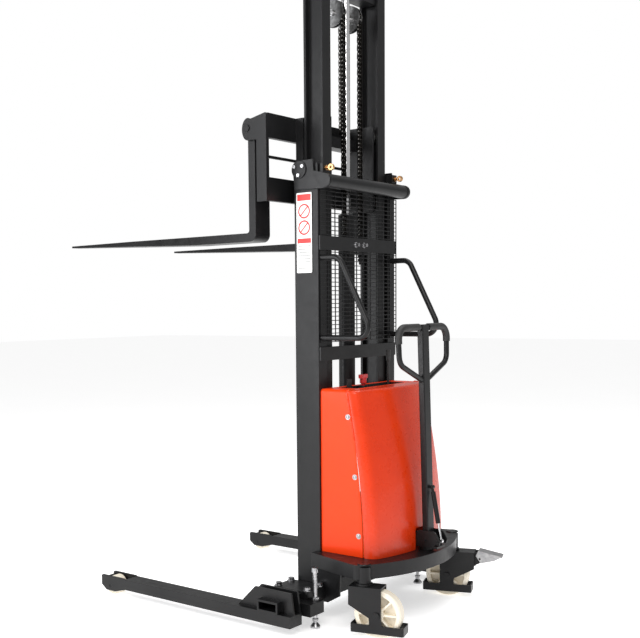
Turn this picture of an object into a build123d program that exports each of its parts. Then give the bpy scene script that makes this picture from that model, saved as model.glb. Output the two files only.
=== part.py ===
"""Walkie stacker: a pedestrian stacker with a two-stage mast and straddle legs.

Frame: +Z up, floor at Z = 0, forks towards +Y, operator at -Y, +X on the operator's right.
The origin is on the floor, under the middle of the overall length.
All lengths are in millimetres.
"""

import os
from math import cos, degrees, radians, sin, tan

from build123d import *

os.makedirs("parts", exist_ok=True)

SIDES = (("left", -1), ("right", 1))

# ---------------------------------------------------------------- driving dimensions
y0 = -483.1
gap = 0.3  # clearance between faces of different bodies
fit = 0.05  # radial clearance of a running fit

# straddle legs and the sleeve that they slide in
leg_outer_x = 541.0
leg_width = 75.0
leg_bottom = 36.0
leg_height = 45.0
leg_length = 879.0
leg_wall = 6.0
leg_travel = 150.0
roller_box_length = 146.0
roller_box_top = 84.0
load_roller_radius = 40.0
load_roller_width = 50.0
load_roller_axle_radius = 8.0
leg_plate_thickness = 8.0
leg_plate_height = 82.0
arm_end_x = 545.0
arm_inner_x = 60.0
arm_y = y0 + 55.0
arm_depth = 98.0
arm_height = 45.0
arm_clearance = 0.5
sleeve_wall = 6.0
sleeve_end_x = 455.0

# outer mast
mast_outer_x = 275.0
mast_rear_y = y0 + 50.0
outer_depth = 110.0
outer_flange_width = 52.0
outer_thickness = 10.0
outer_top = 1765.0

# inner mast, an I section beside the outer channel
rail_gap = 1.5
inner_width = 54.0
inner_depth = 88.0
inner_flange = 10.0
inner_web = 8.0
inner_bottom = 850.0
inner_length = 1690.0

# lift cylinder and chains
barrel_radius = 33.0
barrel_top = 1590.0
rod_radius = 17.0
chain_x = 58.0
chain_pitch = 15.875
chain_plate = 14.0
chain_width = 12.0
wheel_pitch_radius = 45.0
wheel_radius = 52.0
wheel_width = 22.0
wheel_z = 2367.0
wheel_y = y0 + 123.0
chain_rear_end = 1440.0
chain_front_end = 1905.0

# fork carriage and forks
bar_half_x = 380.0
bar_rear_y = y0 + 203.0
bar_thickness = 20.0
upper_bar_bottom = 1863.0
upper_bar_height = 92.0
lower_bar_bottom = 1628.0
lower_bar_height = 88.0
end_plate_thickness = 12.0
shaft_y = y0 + 296.0
shaft_z = 1906.0
shaft_radius = 15.0
fork_width = 88.0
fork_outer_x = 378.0
fork_thickness = 33.0
fork_rear_y = y0 + 270.0
fork_top = 1511.0
fork_tip_y = y0 + 1371.0
fork_tip_width = 40.0
fork_tip_thickness = 8.0
fork_taper_length = 420.0
mast_roller_radius = 33.0
mast_roller_width = 20.0

# base plate, casters and stabilisers
base_top = 270.0
base_thickness = 8.0
skirt_bottom = 215.0
base_front_x = mast_outer_x + 33.0
base_rear_x = mast_outer_x + 99.0
base_rear_y = y0 - 318.0
base_corner_y = y0 - 185.0
caster_x = 338.0
caster_y = y0 - 195.0
caster_wheel_radius = 90.0
caster_wheel_width = 50.0
caster_trail = 58.0
caster_angle = 15.5
brake_caster_trail = 15.0
brake_caster_angle = 200.0
fork_plate_top = 192.0
caster_half_width = 37.0
stabiliser_x = 384.0
stabiliser_y = y0 - 3.0

# covers
cover_half_x = 266.0
cover_front_y = y0 + 49.5
cover_bottom = 270.0
cover_top = 908.0
cover_wall = 3.0
cover_corner_y = y0 - 106.0
cover_flare = 85.0
cover_bulge = 46.0
cover_corner_radius = 36.0
seam_y = y0 - 78.0
seam_sweep = 64.0
seam_gap = 0.6
panel_depth = 12.0

# tiller
clevis_top = 351.0
clevis_turn_radius = 43.5
swivel_y = y0 - 266.0
tilt_y = y0 - 275.0
tilt_z = 312.0
post_width = 48.0
post_depth = 26.0
post_top = 1150.0
post_lean = 1.93
loop_half_width = 185.0
loop_tube_radius = 10.5
grip_radius = 14.0
gas_top = (y0 - 291.0, 520.0)
gas_foot = (y0 - 330.0, 312.0)

# ---------------------------------------------------------------- values worked out
mast_mid_y = mast_rear_y + outer_depth / 2 + 1.0
sleeve_bottom = leg_bottom + leg_height - sleeve_wall - arm_clearance
sleeve_top = leg_bottom + leg_height + arm_height + sleeve_wall + arm_clearance
inner_outer_x = mast_outer_x - outer_flange_width - rail_gap
inner_inner_x = inner_outer_x - inner_width
inner_rear_y = mast_mid_y - inner_depth / 2
inner_top = inner_bottom + inner_length
leg_mid_x = leg_outer_x - leg_width / 2
roller_axle_y = y0 + leg_length + roller_box_length - load_roller_radius - 15.0


def yz(x):
    """Plane across the machine at x, with its own x along +Y and its own y along +Z."""
    return Plane(origin=(x, 0, 0), x_dir=(0, 1, 0), z_dir=(1, 0, 0))


def xz(y):
    """Plane facing the front at y, with its own x along -X and its own y along +Z."""
    return Plane(origin=(0, y, 0), x_dir=(-1, 0, 0), z_dir=(0, 1, 0))


# ================================================================ outer mast
with BuildPart() as outer_uprights:
    for _, sx in SIDES:
        web_x = sx * (mast_outer_x - outer_thickness / 2)
        flange_x = sx * (mast_outer_x - outer_flange_width / 2)
        with BuildSketch(Plane.XY.offset(sleeve_top)):
            with Locations((web_x, mast_rear_y + outer_depth / 2)):
                Rectangle(outer_thickness, outer_depth)
            with Locations(
                (flange_x, mast_rear_y + outer_thickness / 2),
                (flange_x, mast_rear_y + outer_depth - outer_thickness / 2),
            ):
                Rectangle(outer_flange_width, outer_thickness)
        extrude(amount=outer_top - sleeve_top)
outer_uprights.part.label = "outer_uprights"
export_step(outer_uprights.part, "parts/outer_uprights.step")

# ---------------------------------------------------------------- leg sleeve
stab_block_inner_x = 362.0
stab_block_outer_x = 450.0
stab_block_rear_y = y0 - 28.0
stab_block_bottom = 63.0
stab_block_top = 110.0
stab_screw_radius = 8.0
clamp_plate_inner_x = 283.0
clamp_plate_outer_x = 404.0
clamp_plate_thickness = 8.0
clamp_plate_rear_y = y0 + 22.0
clamp_plate_front_y = y0 + 186.0
clamp_bolt_xs = (303.0, 384.0)
clamp_bolt_rear_y = y0 + 36.0
clamp_bolt_front_y = y0 + 173.0
clamp_bolt_radius = 7.0
clamp_lug_height = 40.0
sleeve_y = arm_y - sleeve_wall - arm_clearance
sleeve_depth = arm_depth + 2 * (sleeve_wall + arm_clearance)

with BuildPart() as leg_sleeve:
    with BuildSketch(Plane.YZ.offset(-sleeve_end_x)):
        with Locations((sleeve_y + sleeve_depth / 2, (sleeve_bottom + sleeve_top) / 2)):
            Rectangle(sleeve_depth, sleeve_top - sleeve_bottom)
            Rectangle(
                arm_depth + 2 * arm_clearance,
                arm_height + 2 * arm_clearance,
                mode=Mode.SUBTRACT,
            )
    extrude(amount=2 * sleeve_end_x)
    for _, sx in SIDES:
        # block for the stabiliser screw, behind the sleeve
        block_mid_x = sx * (stab_block_inner_x + stab_block_outer_x) / 2
        with BuildSketch(Plane.XY.offset(stab_block_bottom)):
            with Locations((block_mid_x, (stab_block_rear_y + sleeve_y) / 2)):
                Rectangle(stab_block_outer_x - stab_block_inner_x, sleeve_y - stab_block_rear_y)
        extrude(amount=stab_block_top - stab_block_bottom)
        # lugs that the clamp bolts screw into, up to the underside of the clamp plate
        lug_mid_x = sx * sum(clamp_bolt_xs) / 2
        lug_width = clamp_bolt_xs[1] - clamp_bolt_xs[0] + 36.0
        with BuildSketch(Plane.XY.offset(sleeve_top - clamp_lug_height)):
            with Locations((lug_mid_x, (clamp_plate_rear_y + sleeve_y) / 2)):
                Rectangle(lug_width, sleeve_y - clamp_plate_rear_y)
            front_face = sleeve_y + sleeve_depth
            with Locations((lug_mid_x, (clamp_plate_front_y + front_face) / 2)):
                Rectangle(lug_width, clamp_plate_front_y - front_face)
        extrude(amount=clamp_lug_height)
        with Locations((sx * stabiliser_x, stabiliser_y, stab_block_bottom)):
            Cylinder(
                stab_screw_radius + fit,
                stab_block_top - stab_block_bottom,
                align=(Align.CENTER, Align.CENTER, Align.MIN),
                mode=Mode.SUBTRACT,
            )
        for bolt_x in clamp_bolt_xs:
            for bolt_y in (clamp_bolt_rear_y, clamp_bolt_front_y):
                with Locations((sx * bolt_x, bolt_y, sleeve_top)):
                    Cylinder(
                        clamp_bolt_radius + fit,
                        clamp_lug_height / 2,
                        align=(Align.CENTER, Align.CENTER, Align.MAX),
                        mode=Mode.SUBTRACT,
                    )
leg_sleeve.part.label = "leg_sleeve"
export_step(leg_sleeve.part, "parts/leg_sleeve.step")

with BuildPart() as clamp_plates:
    for _, sx in SIDES:
        plate_mid_x = sx * (clamp_plate_inner_x + clamp_plate_outer_x) / 2
        with BuildSketch(Plane.XY.offset(sleeve_top)):
            with Locations((plate_mid_x, (clamp_plate_rear_y + clamp_plate_front_y) / 2)):
                plate = RectangleRounded(
                    clamp_plate_outer_x - clamp_plate_inner_x,
                    clamp_plate_front_y - clamp_plate_rear_y,
                    12.0,
                )
            for bolt_x in clamp_bolt_xs:
                with Locations(
                    (sx * bolt_x, clamp_bolt_rear_y), (sx * bolt_x, clamp_bolt_front_y)
                ):
                    Circle(clamp_bolt_radius + fit, mode=Mode.SUBTRACT)
        extrude(amount=clamp_plate_thickness)
clamp_plates.part.label = "clamp_plates"
export_step(clamp_plates.part, "parts/clamp_plates.step")

# ---------------------------------------------------------------- bolts of the base
clamp_head_radius = 13.0
clamp_head_height = 10.0
washer_radius = 15.0
washer_thickness = 3.0
clamp_plate_top = sleeve_top + clamp_plate_thickness
stop_bolt_x = -30.0
stop_bolt_y = y0 - 214.0
stop_bolt_height = 34.0
lock_nut_radius = 14.0
lock_nut_height = 12.0
UP = (Align.CENTER, Align.CENTER, Align.MIN)

with BuildPart() as base_bolts:
    for _, sx in SIDES:
        for bolt_x in clamp_bolt_xs:
            for bolt_y in (clamp_bolt_rear_y, clamp_bolt_front_y):
                with Locations((sx * bolt_x, bolt_y, clamp_plate_top)):
                    Cylinder(washer_radius, washer_thickness, align=UP)
                with BuildSketch(Plane.XY.offset(clamp_plate_top + washer_thickness)):
                    with Locations((sx * bolt_x, bolt_y)):
                        RegularPolygon(clamp_head_radius, 6)
                extrude(amount=clamp_head_height)
                with Locations((sx * bolt_x, bolt_y, clamp_plate_top)):
                    Cylinder(
                        clamp_bolt_radius,
                        clamp_plate_thickness + clamp_lug_height / 2 - gap,
                        align=(Align.CENTER, Align.CENTER, Align.MAX),
                    )
        # lock nut of the stabiliser screw
        with BuildSketch(Plane.XY.offset(stab_block_top)):
            with Locations((sx * stabiliser_x, stabiliser_y)):
                RegularPolygon(lock_nut_radius, 6)
                Circle(stab_screw_radius + fit, mode=Mode.SUBTRACT)
        extrude(amount=lock_nut_height)
    # stop bolt of the tiller swivel, standing on the base plate
    with Locations((stop_bolt_x, stop_bolt_y, base_top)):
        Cylinder(5.0, stop_bolt_height, align=UP)
        Cylinder(8.5, 7.0, align=UP)
    with Locations((stop_bolt_x, stop_bolt_y, base_top + stop_bolt_height - 9.0)):
        Cylinder(8.0, 9.0, align=UP)
base_bolts.part.label = "base_bolts"
export_step(base_bolts.part, "parts/base_bolts.step")

# ================================================================ base plate
gusset_x = 282.0
housing_radius = 26.0
gusset_thickness = 8.0
# the gussets stop short of the circle the casters swing through
gusset_clear_y = caster_y + caster_trail + caster_wheel_radius - 3.0
skirt_thickness = 8.0
ear_front_y = y0 + 69.0

with BuildPart() as base_plate:
    with BuildSketch(Plane.XY.offset(base_top)) as base_outline:
        with BuildLine():
            Polyline(
                (-base_rear_x, base_corner_y),
                (-base_front_x, ear_front_y),
                (-mast_outer_x - 2.0, ear_front_y),
                (-mast_outer_x - 2.0, mast_rear_y),
                (mast_outer_x + 2.0, mast_rear_y),
                (mast_outer_x + 2.0, ear_front_y),
                (base_front_x, ear_front_y),
                (base_rear_x, base_corner_y),
            )
            ThreePointArc(
                (base_rear_x, base_corner_y), (0, base_rear_y), (-base_rear_x, base_corner_y)
            )
        make_face()
        rear_corners = base_outline.vertices().sort_by(Axis.Y)[0:2]
        fillet(rear_corners, 30.0)
    extrude(amount=-base_thickness)
    # skirt under the sides and the curved rear edge
    with BuildSketch(Plane.XY.offset(base_top - base_thickness)):
        add(base_outline.sketch.moved(Location((0, 0, -base_top))))
        offset(base_outline.sketch.moved(Location((0, 0, -base_top))), -skirt_thickness, mode=Mode.SUBTRACT)
        with Locations((0, mast_rear_y)):
            Rectangle(2 * mast_outer_x + 4.0, 50.0, mode=Mode.SUBTRACT)
        with Locations((caster_x, caster_y), (-caster_x, caster_y)):
            Circle(housing_radius + 0.1, mode=Mode.SUBTRACT)
    extrude(amount=-(base_top - base_thickness - skirt_bottom))
    # side gussets from the leg sleeve up to the plate
    for _, sx in SIDES:
        with BuildSketch(Plane.YZ.offset(sx * gusset_x)):
            with BuildLine():
                Polyline(
                    (sleeve_y, base_top - base_thickness),
                    (sleeve_y, sleeve_bottom),
                    (y0 + 10.0, sleeve_bottom),
                    (gusset_clear_y + 6.0, 107.0),
                    (gusset_clear_y, skirt_bottom - 12.0),
                    (y0 - 150.0, skirt_bottom),
                    (y0 - 150.0, base_top - base_thickness),
                    close=True,
                )
            make_face()
        extrude(amount=-sx * gusset_thickness)
base_plate.part.label = "base_plate"
export_step(base_plate.part, "parts/base_plate.step")

# ---------------------------------------------------------------- caster bearings
housing_bottom = 200.0
stem_radius = 12.5
stem_top = 256.0
cap_radius = 27.0
cap_height = 4.0

with BuildPart() as caster_housings:
    for _, sx in SIDES:
        with Locations((sx * caster_x, caster_y, housing_bottom)):
            Cylinder(housing_radius, base_top - base_thickness - housing_bottom, align=UP)
            Cylinder(stem_radius + fit, stem_top + 1.0 - housing_bottom, align=UP, mode=Mode.SUBTRACT)
caster_housings.part.label = "caster_housings"
export_step(caster_housings.part, "parts/caster_housings.step")

with BuildPart() as caster_caps:
    for _, sx in SIDES:
        with BuildSketch(Plane.XY.offset(base_top)):
            with Locations((sx * caster_x, caster_y)):
                Circle(cap_radius)
        extrude(amount=cap_height, taper=30.0)
caster_caps.part.label = "caster_caps"
export_step(caster_caps.part, "parts/caster_caps.step")

# ================================================================ straddle legs
leg_plate_base = 268.0
leg_plate_roof = (12.0, 186.0)
roller_axle_length = 72.0

for side, sx in SIDES:
    with BuildPart() as leg:
        # square tube, open towards the roller box
        tube_mid = (sx * leg_mid_x, leg_bottom + leg_height / 2)
        with BuildSketch(Plane.XZ.offset(-y0)):
            with Locations(tube_mid):
                Rectangle(leg_width, leg_height)
        extrude(amount=-leg_length)
        with BuildSketch(Plane.XZ.offset(-y0 - leg_wall)):
            with Locations(tube_mid):
                Rectangle(leg_width - 2 * leg_wall, leg_height - 2 * leg_wall)
        extrude(amount=-leg_length, mode=Mode.SUBTRACT)
        # roller box: two side plates with a lowered belly and a front wall
        box_rear_y = y0 + leg_length
        box_front_y = box_rear_y + roller_box_length
        for cheek_x in (leg_outer_x - leg_wall, leg_outer_x - leg_width):
            with BuildSketch(yz(sx * cheek_x if sx > 0 else -cheek_x - leg_wall)) as cheek:
                with BuildLine():
                    Polyline(
                        (box_rear_y, leg_bottom),
                        (roller_axle_y - 26.0, 19.0),
                        (roller_axle_y + 26.0, 19.0),
                        (box_front_y, leg_bottom + 4.0),
                        (box_front_y, roller_box_top),
                        (box_rear_y, roller_box_top),
                        close=True,
                    )
                make_face()
                fillet(cheek.vertices().group_by(Axis.Y)[-1], 10.0)
                with Locations((roller_axle_y, load_roller_radius)):
                    Circle(load_roller_axle_radius, mode=Mode.SUBTRACT)
            extrude(amount=leg_wall)
        with BuildSketch(Plane.XY.offset(leg_bottom + 14.0)):
            with Locations((sx * leg_mid_x, box_front_y - leg_wall / 2)):
                Rectangle(leg_width - 2 * leg_wall, leg_wall)
        extrude(amount=roller_box_top - leg_bottom - 28.0)
        # upright plates that carry the arm
        for plate_x in (leg_outer_x - 29.0, leg_outer_x - leg_width + leg_plate_thickness):
            near_x = plate_x - leg_plate_thickness / 2
            with BuildSketch(yz(sx * near_x if sx > 0 else -near_x - leg_plate_thickness)):
                with BuildLine():
                    Polyline(
                        (y0, leg_bottom + leg_height),
                        (y0 + leg_plate_base, leg_bottom + leg_height),
                        (y0 + leg_plate_roof[1], leg_bottom + leg_height + leg_plate_height),
                        (y0 + leg_plate_roof[0], leg_bottom + leg_height + leg_plate_height),
                        close=True,
                    )
                make_face()
            extrude(amount=leg_plate_thickness)
        arm_mid_x = sx * (arm_end_x + arm_inner_x) / 2
        with Locations((arm_mid_x, arm_y + arm_depth / 2, leg_bottom + leg_height + arm_height / 2)):
            Box(arm_end_x - arm_inner_x, arm_depth, arm_height)
            Box(arm_end_x + 1.0, arm_depth - 16.0, arm_height - 16.0, mode=Mode.SUBTRACT)
        # roller axle, pressed into the side plates
        with BuildSketch(yz(sx * leg_mid_x)):
            with Locations((roller_axle_y, load_roller_radius)):
                Circle(load_roller_axle_radius)
        extrude(amount=roller_axle_length / 2, both=True)
    leg.part.label = f"leg_{side}"
    export_step(leg.part, f"parts/leg_{side}.step")

    with BuildPart() as load_roller:
        with BuildSketch(yz(sx * leg_mid_x)):
            with Locations((roller_axle_y, load_roller_radius)):
                Circle(load_roller_radius)
                Circle(load_roller_axle_radius + fit, mode=Mode.SUBTRACT)
        extrude(amount=load_roller_width / 2, both=True)
        rims = load_roller.edges().filter_by(GeomType.CIRCLE).group_by(SortBy.RADIUS)[-1]
        chamfer(rims, 3.0)
    load_roller.part.label = f"load_roller_{side}"
    export_step(load_roller.part, f"parts/load_roller_{side}.step")

# stabiliser screws with their round feet
screw_top = 237.0
foot_radius = 19.0
foot_bottom = 5.0
for side, sx in SIDES:
    with BuildPart() as stabiliser:
        with BuildSketch(Plane.XZ.offset(-stabiliser_y)):
            with BuildLine():
                Polyline(
                    (0, foot_bottom),
                    (foot_radius, foot_bottom),
                    (foot_radius, foot_bottom + 6.0),
                    (9.0, foot_bottom + 20.0),
                    (9.0, foot_bottom + 24.0),
                    (12.0, foot_bottom + 26.0),
                    (12.0, foot_bottom + 34.0),
                    (stab_screw_radius, foot_bottom + 36.0),
                    (stab_screw_radius, screw_top - 18.0),
                    (12.0, screw_top - 18.0),
                    (12.0, screw_top),
                    (0, screw_top),
                    close=True,
                )
            make_face()
        revolve(axis=Axis((0, stabiliser_y, 0), (0, 0, 1)))
        with BuildSketch(Plane.XY.offset(screw_top)):
            with Locations((0, stabiliser_y)):
                RegularPolygon(6.5, 6)
        extrude(amount=-9.0, mode=Mode.SUBTRACT)
    stabiliser.part = stabiliser.part.moved(Location((sx * stabiliser_x, 0, 0)))
    stabiliser.part.label = f"stabiliser_{side}"
    export_step(stabiliser.part, f"parts/stabiliser_{side}.step")

# ================================================================ casters
band_height = 32.0
band_bottom = 20.0
band_wall = 5.0
band_clearance = 7.0
caster_axle_radius = 8.0
pedal_thickness = 4.0

CASTERS = (
    # side, sign, trail, direction of the trail from -Y, plate length ahead of and behind the stem
    ("left", -1, caster_trail, caster_angle, 51.0, 75.0),
    ("right", 1, brake_caster_trail, brake_caster_angle, 98.0, 45.0),
)
for side, sx, trail, angle, lead, tail in CASTERS:
    swivel = Vector(sx * caster_x, caster_y, 0)
    along = Vector(sin(radians(angle)), -cos(radians(angle)), 0)
    flat = Plane(origin=swivel, x_dir=along, z_dir=(0, 0, 1))
    upright = Plane(origin=swivel, x_dir=along, z_dir=along.cross(Vector(0, 0, 1)))
    band_length = 2 * (caster_wheel_radius + band_clearance)
    with BuildPart() as caster_fork:
        with BuildSketch(flat.offset(fork_plate_top)):
            with Locations(((tail - lead) / 2, 0)):
                Rectangle(lead + tail, 2 * caster_half_width)
        extrude(amount=-6.0)
        with BuildSketch(flat.offset(fork_plate_top)):
            Circle(housing_radius + 6.0)
        extrude(amount=housing_bottom - fork_plate_top - gap)
        with BuildSketch(flat.offset(fork_plate_top)):
            Circle(stem_radius)
        extrude(amount=stem_top - fork_plate_top)
        for cheek in (-1, 1):
            with BuildSketch(upright.offset(cheek * (caster_half_width - 2.0))):
                with BuildLine():
                    Polyline(
                        (-lead, fork_plate_top),
                        (tail, fork_plate_top),
                        (tail, 122.0 if trail < tail - 35.0 else 70.0),
                        (trail + 26.0, band_bottom + band_height / 2),
                        (trail - 26.0, band_bottom + band_height / 2),
                        (trail - 30.0, 78.0),
                        (-lead, 122.0),
                        close=True,
                    )
                make_face()
                with Locations((trail, caster_wheel_radius)):
                    Circle(caster_axle_radius, mode=Mode.SUBTRACT)
            extrude(amount=2.0, both=True)
        # guard band round the wheel
        with BuildSketch(flat.offset(band_bottom)):
            with Locations((trail, 0)):
                RectangleRounded(band_length + 2 * band_wall, 2 * caster_half_width, 8.0)
                Rectangle(band_length, 2 * caster_half_width - 8.0, mode=Mode.SUBTRACT)
        extrude(amount=band_height)
        # wheel axle with its bolt heads
        with BuildSketch(upright):
            with Locations((trail, caster_wheel_radius)):
                Circle(caster_axle_radius)
        extrude(amount=caster_half_width + 6.0, both=True)
        for cheek in (-1, 1):
            with BuildSketch(upright.offset(cheek * caster_half_width)):
                with Locations((trail, caster_wheel_radius)):
                    Circle(12.0)
            extrude(amount=cheek * 6.0)
        if side == "right":
            # ears that carry the brake pedal at the front of the fork plate
            for cheek in (-1, 1):
                with BuildSketch(upright.offset(cheek * 22.0)):
                    with BuildLine():
                        Polyline(
                            (-lead, fork_plate_top),
                            (-lead - 20.0, fork_plate_top),
                            (-lead - 34.0, fork_plate_top - 14.0),
                            (-lead - 34.0, fork_plate_top - 40.0),
                            (-lead, fork_plate_top - 56.0),
                            close=True,
                        )
                    make_face()
                extrude(amount=2.0, both=True)
            with BuildSketch(upright):
                with Locations((-lead - 22.0, fork_plate_top - 26.0)):
                    Circle(4.0)
            extrude(amount=32.0, both=True)
    caster_fork.part.label = f"caster_fork_{side}"
    export_step(caster_fork.part, f"parts/caster_fork_{side}.step")

    with BuildPart() as caster_wheel:
        wheel_plane = Plane(
            origin=swivel + along * trail + Vector(0, 0, caster_wheel_radius),
            x_dir=along,
            z_dir=along.cross(Vector(0, 0, 1)),
        )
        with BuildSketch(wheel_plane):
            Circle(caster_wheel_radius)
        extrude(amount=caster_wheel_width / 2, both=True)
        rims = caster_wheel.edges().filter_by(GeomType.CIRCLE)
        chamfer(rims, 5.0)
        # dished sides with spokes round the hub
        for face in (-1, 1):
            with BuildSketch(wheel_plane.offset(face * caster_wheel_width / 2)):
                Circle(caster_wheel_radius - 18.0)
                Circle(24.0, mode=Mode.SUBTRACT)
                with PolarLocations(0, 8):
                    Rectangle(caster_wheel_radius, 7.0, align=(Align.MIN, Align.CENTER), mode=Mode.SUBTRACT)
            extrude(amount=-face * (caster_wheel_width / 2 - 4.0), mode=Mode.SUBTRACT)
        with BuildSketch(wheel_plane):
            Circle(caster_axle_radius + fit)
        extrude(amount=caster_wheel_width, both=True, mode=Mode.SUBTRACT)
    caster_wheel.part.label = f"caster_wheel_{side}"
    export_step(caster_wheel.part, f"parts/caster_wheel_{side}.step")

    if side == "right":
        pedal_pivot = (-lead - 22.0, fork_plate_top - 26.0)
        with BuildPart() as brake_pedal:
            for cheek in (-1, 1):
                with BuildSketch(upright.offset(cheek * 29.0)):
                    with BuildLine():
                        Polyline(
                            (pedal_pivot[0] + 16.0, pedal_pivot[1] + 12.0),
                            (pedal_pivot[0] + 6.0, pedal_pivot[1] + 34.0),
                            (pedal_pivot[0] - 92.0, pedal_pivot[1] + 14.0),
                            (pedal_pivot[0] - 60.0, pedal_pivot[1] - 4.0),
                            (pedal_pivot[0] - 4.0, pedal_pivot[1] - 18.0),
                            close=True,
                        )
                    make_face()
                    with Locations(pedal_pivot):
                        Circle(4.0 + fit, mode=Mode.SUBTRACT)
                extrude(amount=pedal_thickness / 2, both=True)
            with BuildSketch(upright):
                with BuildLine():
                    Polyline(
                        (pedal_pivot[0] + 6.0, pedal_pivot[1] + 34.0),
                        (pedal_pivot[0] - 92.0, pedal_pivot[1] + 14.0),
                        (pedal_pivot[0] - 92.0, pedal_pivot[1] + 9.0),
                        (pedal_pivot[0] + 6.0, pedal_pivot[1] + 29.0),
                        close=True,
                    )
                make_face()
            extrude(amount=31.0, both=True)
        brake_pedal.part.label = "brake_pedal"
        export_step(brake_pedal.part, "parts/brake_pedal.step")

# ================================================================ top of the outer mast
head_thickness = 10.0
head_disc_centre = (y0 + 128.0, 1745.0)
head_disc_radius = 33.0
head_bolt_circle = 22.0
crossbar_y = y0 + 9.0
crossbar_z = 1695.0
crossbar_radius = 26.0
crossbar_half_length = 288.0
head_lobe_radius = crossbar_radius + 2.0
ring_bolt_x = 247.0
ring_bolt_z = 1747.0

with BuildPart() as head_brackets:
    for _, sx in SIDES:
        near_x = mast_outer_x if sx > 0 else -mast_outer_x - head_thickness
        with BuildSketch(yz(near_x)) as head_outline:
            with BuildLine():
                Polyline(
                    (y0 + 152.0, 1671.0),
                    (y0 + 161.0, 1764.0),
                    (y0 + 112.0, 1779.0),
                    (y0 + 66.0, 1779.0),
                    (y0 + 62.0, 1736.0),
                    (crossbar_y, crossbar_z + head_lobe_radius),
                    (crossbar_y, crossbar_z - head_lobe_radius),
                    close=True,
                )
            make_face()
            with Locations((crossbar_y, crossbar_z)):
                Circle(head_lobe_radius)
        extrude(amount=head_thickness)
        # spacer behind the disc, and the disc that holds the roller spindle
        with BuildSketch(yz(near_x + head_thickness if sx > 0 else near_x)):
            with Locations(head_disc_centre):
                Circle(head_disc_radius)
        extrude(amount=sx * 5.0)
        # block on the back of the upright for the ring bolt
        with Locations((sx * ring_bolt_x, mast_rear_y - 9.0, ring_bolt_z)):
            Box(36.0, 18.0, 34.0)
        # spindle of the upper mast roller, through the channel's web
        spindle_x = sx * (inner_inner_x + inner_width / 2 + inner_web / 2 + gap)
        with BuildSketch(yz(spindle_x)):
            with Locations((mast_mid_y, 1735.0)):
                Circle(12.0)
        extrude(amount=sx * (mast_outer_x - outer_thickness - abs(spindle_x)))
head_brackets.part.label = "head_brackets"
export_step(head_brackets.part, "parts/head_brackets.step")

with BuildPart() as ring_bolts:
    for _, sx in SIDES:
        with BuildSketch(xz(mast_rear_y - 18.0)):
            with Locations((-sx * ring_bolt_x, ring_bolt_z)):
                RegularPolygon(11.0, 6)
        extrude(amount=-7.0)
        with BuildSketch(xz(mast_rear_y - 25.0)):
            with Locations((-sx * ring_bolt_x, ring_bolt_z)):
                Circle(6.0)
        extrude(amount=-8.0)
        with BuildSketch(yz(sx * ring_bolt_x)):
            with Locations((mast_rear_y - 44.0, ring_bolt_z)):
                Circle(12.0)
                Circle(5.5, mode=Mode.SUBTRACT)
        extrude(amount=5.0, both=True)
ring_bolts.part.label = "ring_bolts"
export_step(ring_bolts.part, "parts/ring_bolts.step")

with BuildPart() as crossbar:
    with BuildSketch(Plane.YZ):
        with Locations((crossbar_y, crossbar_z)):
            Circle(crossbar_radius)
            Circle(crossbar_radius - 4.0, mode=Mode.SUBTRACT)
    extrude(amount=mast_outer_x - 4.0, both=True)
    for _, sx in SIDES:
        with BuildSketch(Plane.YZ.offset(sx * (mast_outer_x + head_thickness))):
            with Locations((crossbar_y, crossbar_z)):
                Circle(crossbar_radius + 1.0)
        extrude(amount=sx * 6.0)
        with BuildSketch(Plane.YZ.offset(sx * (mast_outer_x - 4.0))):
            with Locations((crossbar_y, crossbar_z)):
                Circle(crossbar_radius)
        extrude(amount=sx * 4.0)
crossbar.part.label = "crossbar"
export_step(crossbar.part, "parts/crossbar.step")

# cross plates with returned ends, and the guard behind them
guard_thickness = 3.4
guard_rear_y = mast_rear_y - guard_thickness
plate_thickness = 4.5
plate_half_x = 272.0
guard_half_x = 276.0
guard_shift_x = 11.0
guard_bottom = 1084.0
guard_top = 1668.0
guard_pitch_x = 50.0
guard_pitch_z = 16.5
guard_wire = 3.0

PLATES = (("cross_plate_upper", 1440.0, 54.0), ("cross_plate_lower", 1016.0, 53.0))
for name, bottom, height in PLATES:
    with BuildPart() as cross_plate:
        with Locations((0, guard_rear_y - plate_thickness / 2, bottom + height / 2)):
            Box(2 * plate_half_x, plate_thickness, height)
        # turned-in end on the left; on the right the guard runs on between plate and mast
        return_y = (guard_rear_y - plate_thickness + mast_rear_y) / 2
        with Locations((-plate_half_x + 2.0, return_y, bottom + height / 2)):
            Box(4.0, mast_rear_y - guard_rear_y + plate_thickness, height)
    cross_plate.part.label = name
    export_step(cross_plate.part, f"parts/{name}.step")

handle_x = 256.0
handle_radius = 11.0
handle_upper_z = 1411.0
handle_lower_z = 1105.0
with BuildPart() as mesh_guard:
    columns = int(2 * guard_half_x / guard_pitch_x)
    rows = int((guard_top - guard_bottom) / guard_pitch_z)
    guard_mid_z = (guard_bottom + guard_top) / 2
    with BuildSketch(xz(guard_rear_y)):
        with Locations((-guard_shift_x, guard_mid_z)):
            Rectangle(columns * guard_pitch_x + guard_wire, rows * guard_pitch_z + guard_wire)
            with GridLocations(guard_pitch_x, guard_pitch_z, columns, rows):
                Rectangle(guard_pitch_x - guard_wire, guard_pitch_z - guard_wire, mode=Mode.SUBTRACT)
        # notches round the ends of the grab handles
        for _, sx in SIDES:
            for handle_z in (handle_upper_z, handle_lower_z):
                with Locations((sx * handle_x, handle_z)):
                    Circle(handle_radius + 1.0, mode=Mode.SUBTRACT)
    extrude(amount=guard_thickness)
mesh_guard.part.label = "mesh_guard"
export_step(mesh_guard.part, "parts/mesh_guard.step")

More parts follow.
